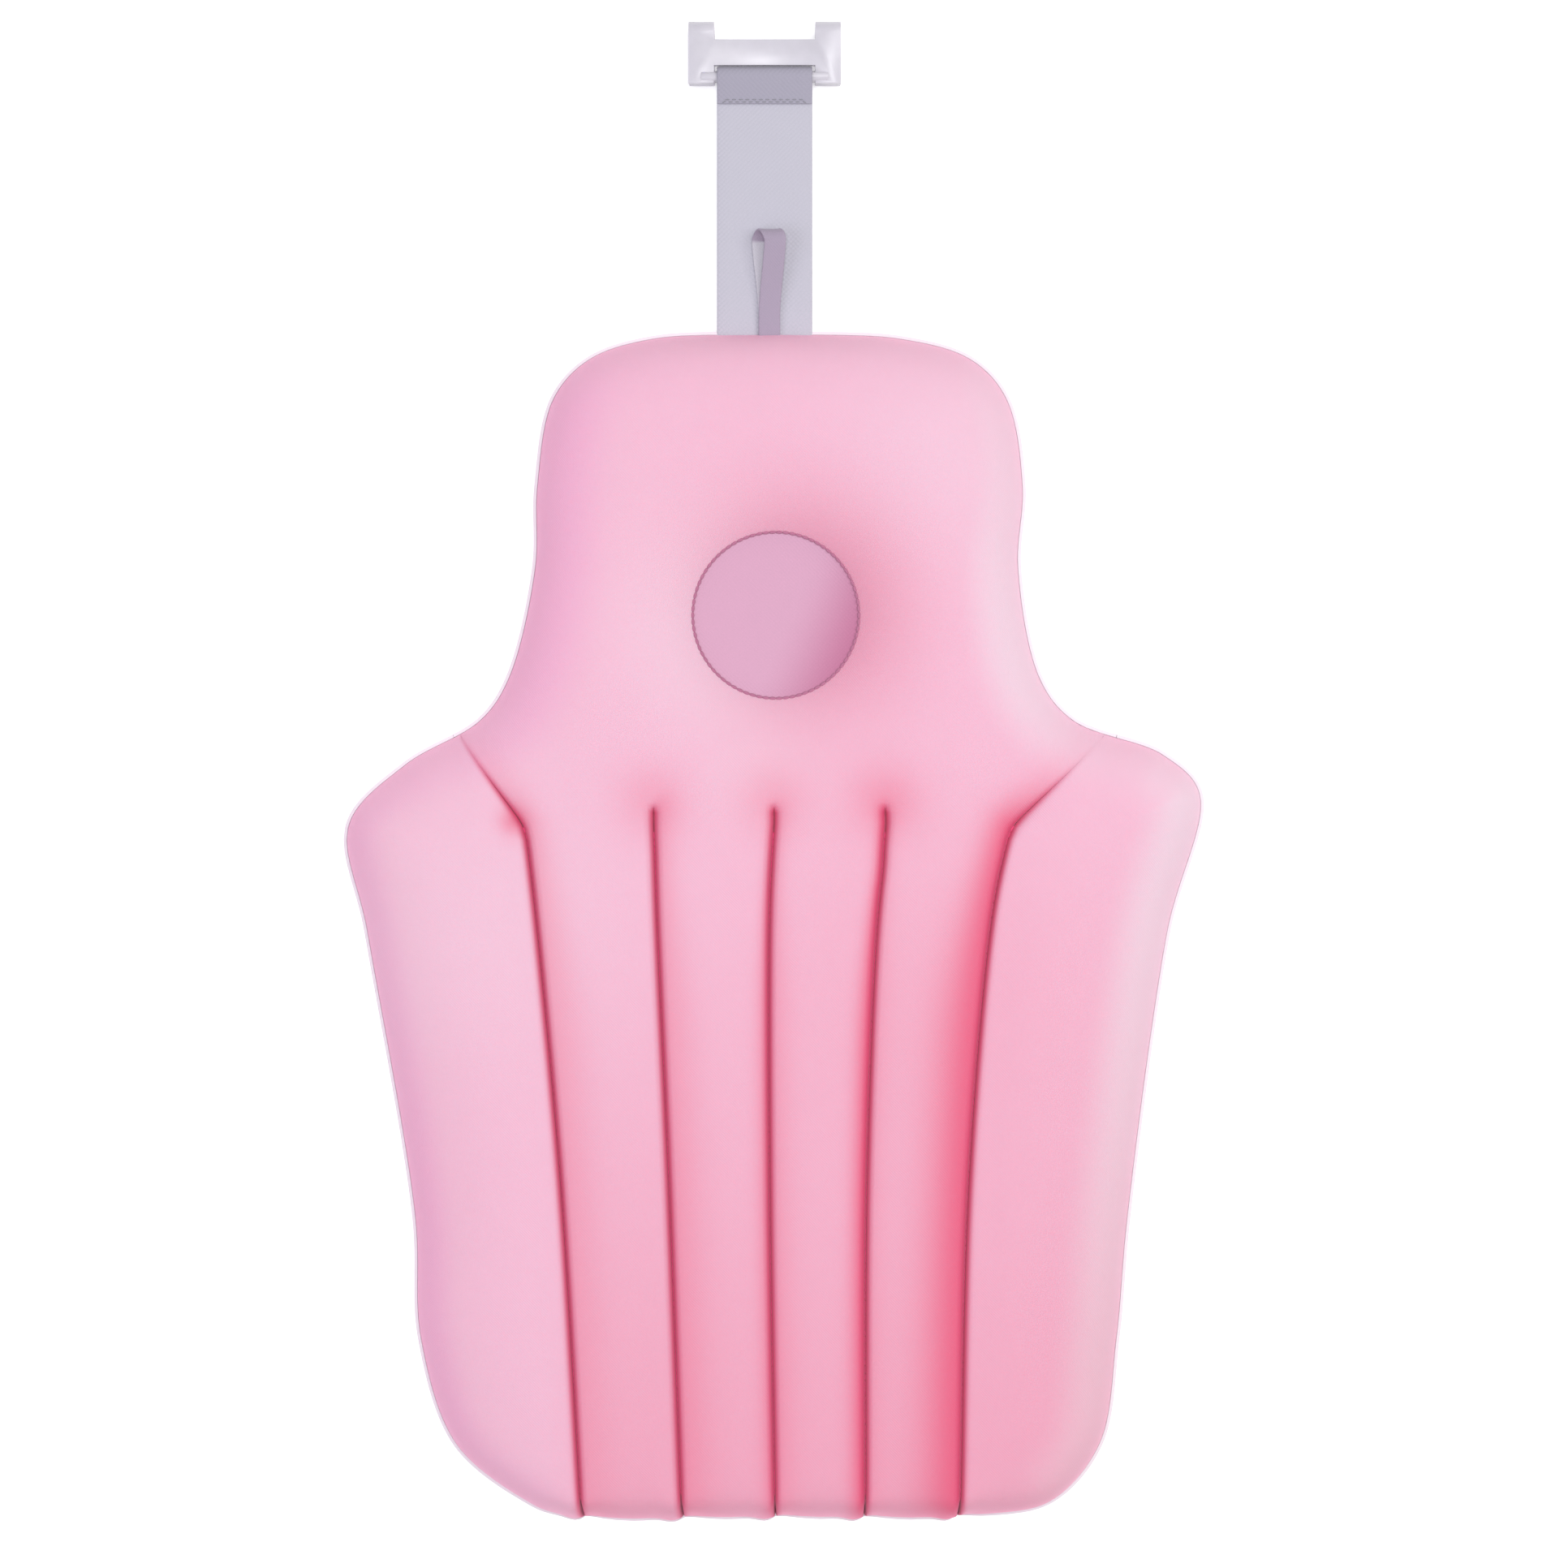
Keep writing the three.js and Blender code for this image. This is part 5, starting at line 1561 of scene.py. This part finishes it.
class PILLOW_OT_rim_hook(bpy.types.Operator):
    """Makes the moulded rim hook with rounded edges"""

    bl_idname = "pillow.rim_hook"
    bl_label = "Rim hook"

    weld_distance = 0.01 * MM
    flat_angle = math.radians(1)
    edge_radius = 0.7 * MM
    edge_segments = 3
    edge_angle = math.radians(35)
    smooth_angle = math.radians(40)

    def execute(self, context):
        mesh = frame["nodes"]["rim_hook"].data.copy()
        mesh.materials.clear()
        moulding = bmesh.new()
        moulding.from_mesh(mesh)
        bmesh.ops.remove_doubles(moulding, verts=moulding.verts, dist=self.weld_distance)
        bmesh.ops.dissolve_limit(
            moulding, angle_limit=self.flat_angle, verts=moulding.verts, edges=moulding.edges)
        moulding.to_mesh(mesh)
        moulding.free()
        hook = new_object("rim_hook_moulding", mesh, hook_material(context.scene.pillow_colours))
        rounding = hook.modifiers.new("rounded edges", "BEVEL")
        rounding.width = self.edge_radius
        rounding.segments = self.edge_segments
        rounding.harden_normals = True
        rounding.limit_method = "ANGLE"
        rounding.angle_limit = self.edge_angle
        settle(hook, self.smooth_angle)
        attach(hook, "hook")
        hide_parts("rim_hook")
        return {"FINISHED"}


class PILLOW_OT_stage(bpy.types.Operator):
    """Makes the floor, the soft lights and the camera above the pillow"""

    bl_idname = "pillow.stage"
    bl_label = "Stage"

    view_width = 656.9 * MM
    view_centre = Vector((4.1 * MM, 59.3 * MM, 20 * MM))
    lens = 90.0
    sensor = 36.0
    ambient = 0.34
    floor_reach = 4.0
    floor_level = -0.5 * MM
    floor_glow = 0.25

    def execute(self, context):
        self.floor()
        self.light("key_light", place=(0.9, 0.4, 1.55), size=1.3, power=15.5, colour=(1.0, 0.99, 0.98))
        self.light("fill_light", place=(-1.3, -0.2, 1.5), size=1.4, power=10.0, colour=(0.88, 0.86, 1.0))
        self.light("front_light", place=(0.0, 0.06, 2.6), size=0.5, power=27.0, colour=(1.0, 1.0, 1.0))
        world = bpy.data.worlds.new("studio")
        world.use_nodes = True
        background = world.node_tree.nodes["Background"]
        set_inputs(background, {"Color": (1, 1, 1, 1), "Strength": self.ambient})
        context.scene.world = world
        context.scene.view_settings.view_transform = "Standard"
        camera = bpy.data.objects.new("camera", bpy.data.cameras.new("camera"))
        camera.data.lens = self.lens
        camera.data.sensor_width = self.sensor
        camera.location = self.view_centre + Vector((0, 0, self.view_width * self.lens / self.sensor))
        context.scene.collection.objects.link(camera)
        context.scene.camera = camera
        return {"FINISHED"}

    def floor(self):
        """A wide pale floor just under the pillow."""
        material, tree, shader = new_material("pale_floor")
        place = add_node(tree, "ShaderNodeTexCoord")
        uneven = {"Vector": place.outputs["Object"], "Scale": 3.0}
        cloud = add_node(tree, "ShaderNodeTexNoise", uneven)
        tone = mixed(tree, cloud.outputs[0], (0.93, 0.93, 0.93, 1), (0.95, 0.95, 0.95, 1))
        tree.links.new(tone, shader.inputs["Base Color"])
        set_inputs(shader, {
            "Roughness": 0.9,
            "Specular IOR Level": 0.1,
            "Emission Color": (1, 1, 1, 1),
            "Emission Strength": self.floor_glow,
        })
        corners = [
            (x * self.floor_reach, y * self.floor_reach, self.floor_level)
            for x, y in ((-1, -1), (1, -1), (1, 1), (-1, 1))
        ]
        mesh = bpy.data.meshes.new("floor")
        mesh.from_pydata(corners, [], [(0, 1, 2, 3)])
        new_object("floor", mesh, material)

    def light(self, name, place, size, power, colour):
        """A square soft light that faces the pillow."""
        data = bpy.data.lights.new(name, "AREA")
        data.size = size
        data.energy = power
        data.color = colour
        lamp = bpy.data.objects.new(name, data)
        lamp.location = place
        lamp.rotation_euler = (-Vector(place)).to_track_quat("-Z", "Y").to_euler()
        bpy.context.scene.collection.objects.link(lamp)


OPERATORS = (
    PILLOW_OT_front_cloth,
    PILLOW_OT_back_cloth,
    PILLOW_OT_padding,
    PILLOW_OT_head_recess,
    PILLOW_OT_seam_stitches,
    PILLOW_OT_hanging_strap,
    PILLOW_OT_drying_loop,
    PILLOW_OT_rim_hook,
    PILLOW_OT_stage,
)


class PILLOW_PT_pieces(bpy.types.Panel):
    """Lists the pillow's sizes, colours and pieces"""

    bl_idname = "PILLOW_PT_pieces"
    bl_label = "Bath pillow"
    bl_space_type = "VIEW_3D"
    bl_region_type = "UI"
    bl_category = "Bath pillow"

    def draw(self, context):
        for group in (context.scene.pillow_sizes, context.scene.pillow_colours):
            for name in group.__annotations__:
                self.layout.prop(group, name)
        for operator in OPERATORS:
            self.layout.operator(operator.bl_idname)


CLASSES = (PillowSizes, PillowColours, *OPERATORS, PILLOW_PT_pieces)


def register():
    """Registers the classes and gives each scene its sizes and colours."""
    for item in CLASSES:
        bpy.utils.register_class(item)
    bpy.types.Scene.pillow_sizes = PointerProperty(type=PillowSizes)
    bpy.types.Scene.pillow_colours = PointerProperty(type=PillowColours)


def unregister():
    """Takes back what register() did."""
    del bpy.types.Scene.pillow_colours
    del bpy.types.Scene.pillow_sizes
    for item in reversed(CLASSES):
        bpy.utils.unregister_class(item)


def main():
    """Builds the pillow and its stage."""
    register()
    bpy.ops.pillow.front_cloth()
    bpy.ops.pillow.back_cloth()
    bpy.ops.pillow.padding()
    bpy.ops.pillow.head_recess()
    bpy.ops.pillow.seam_stitches()
    bpy.ops.pillow.hanging_strap()
    bpy.ops.pillow.drying_loop()
    bpy.ops.pillow.rim_hook()
    bpy.ops.pillow.stage()


if __name__ == "__main__":
    main()
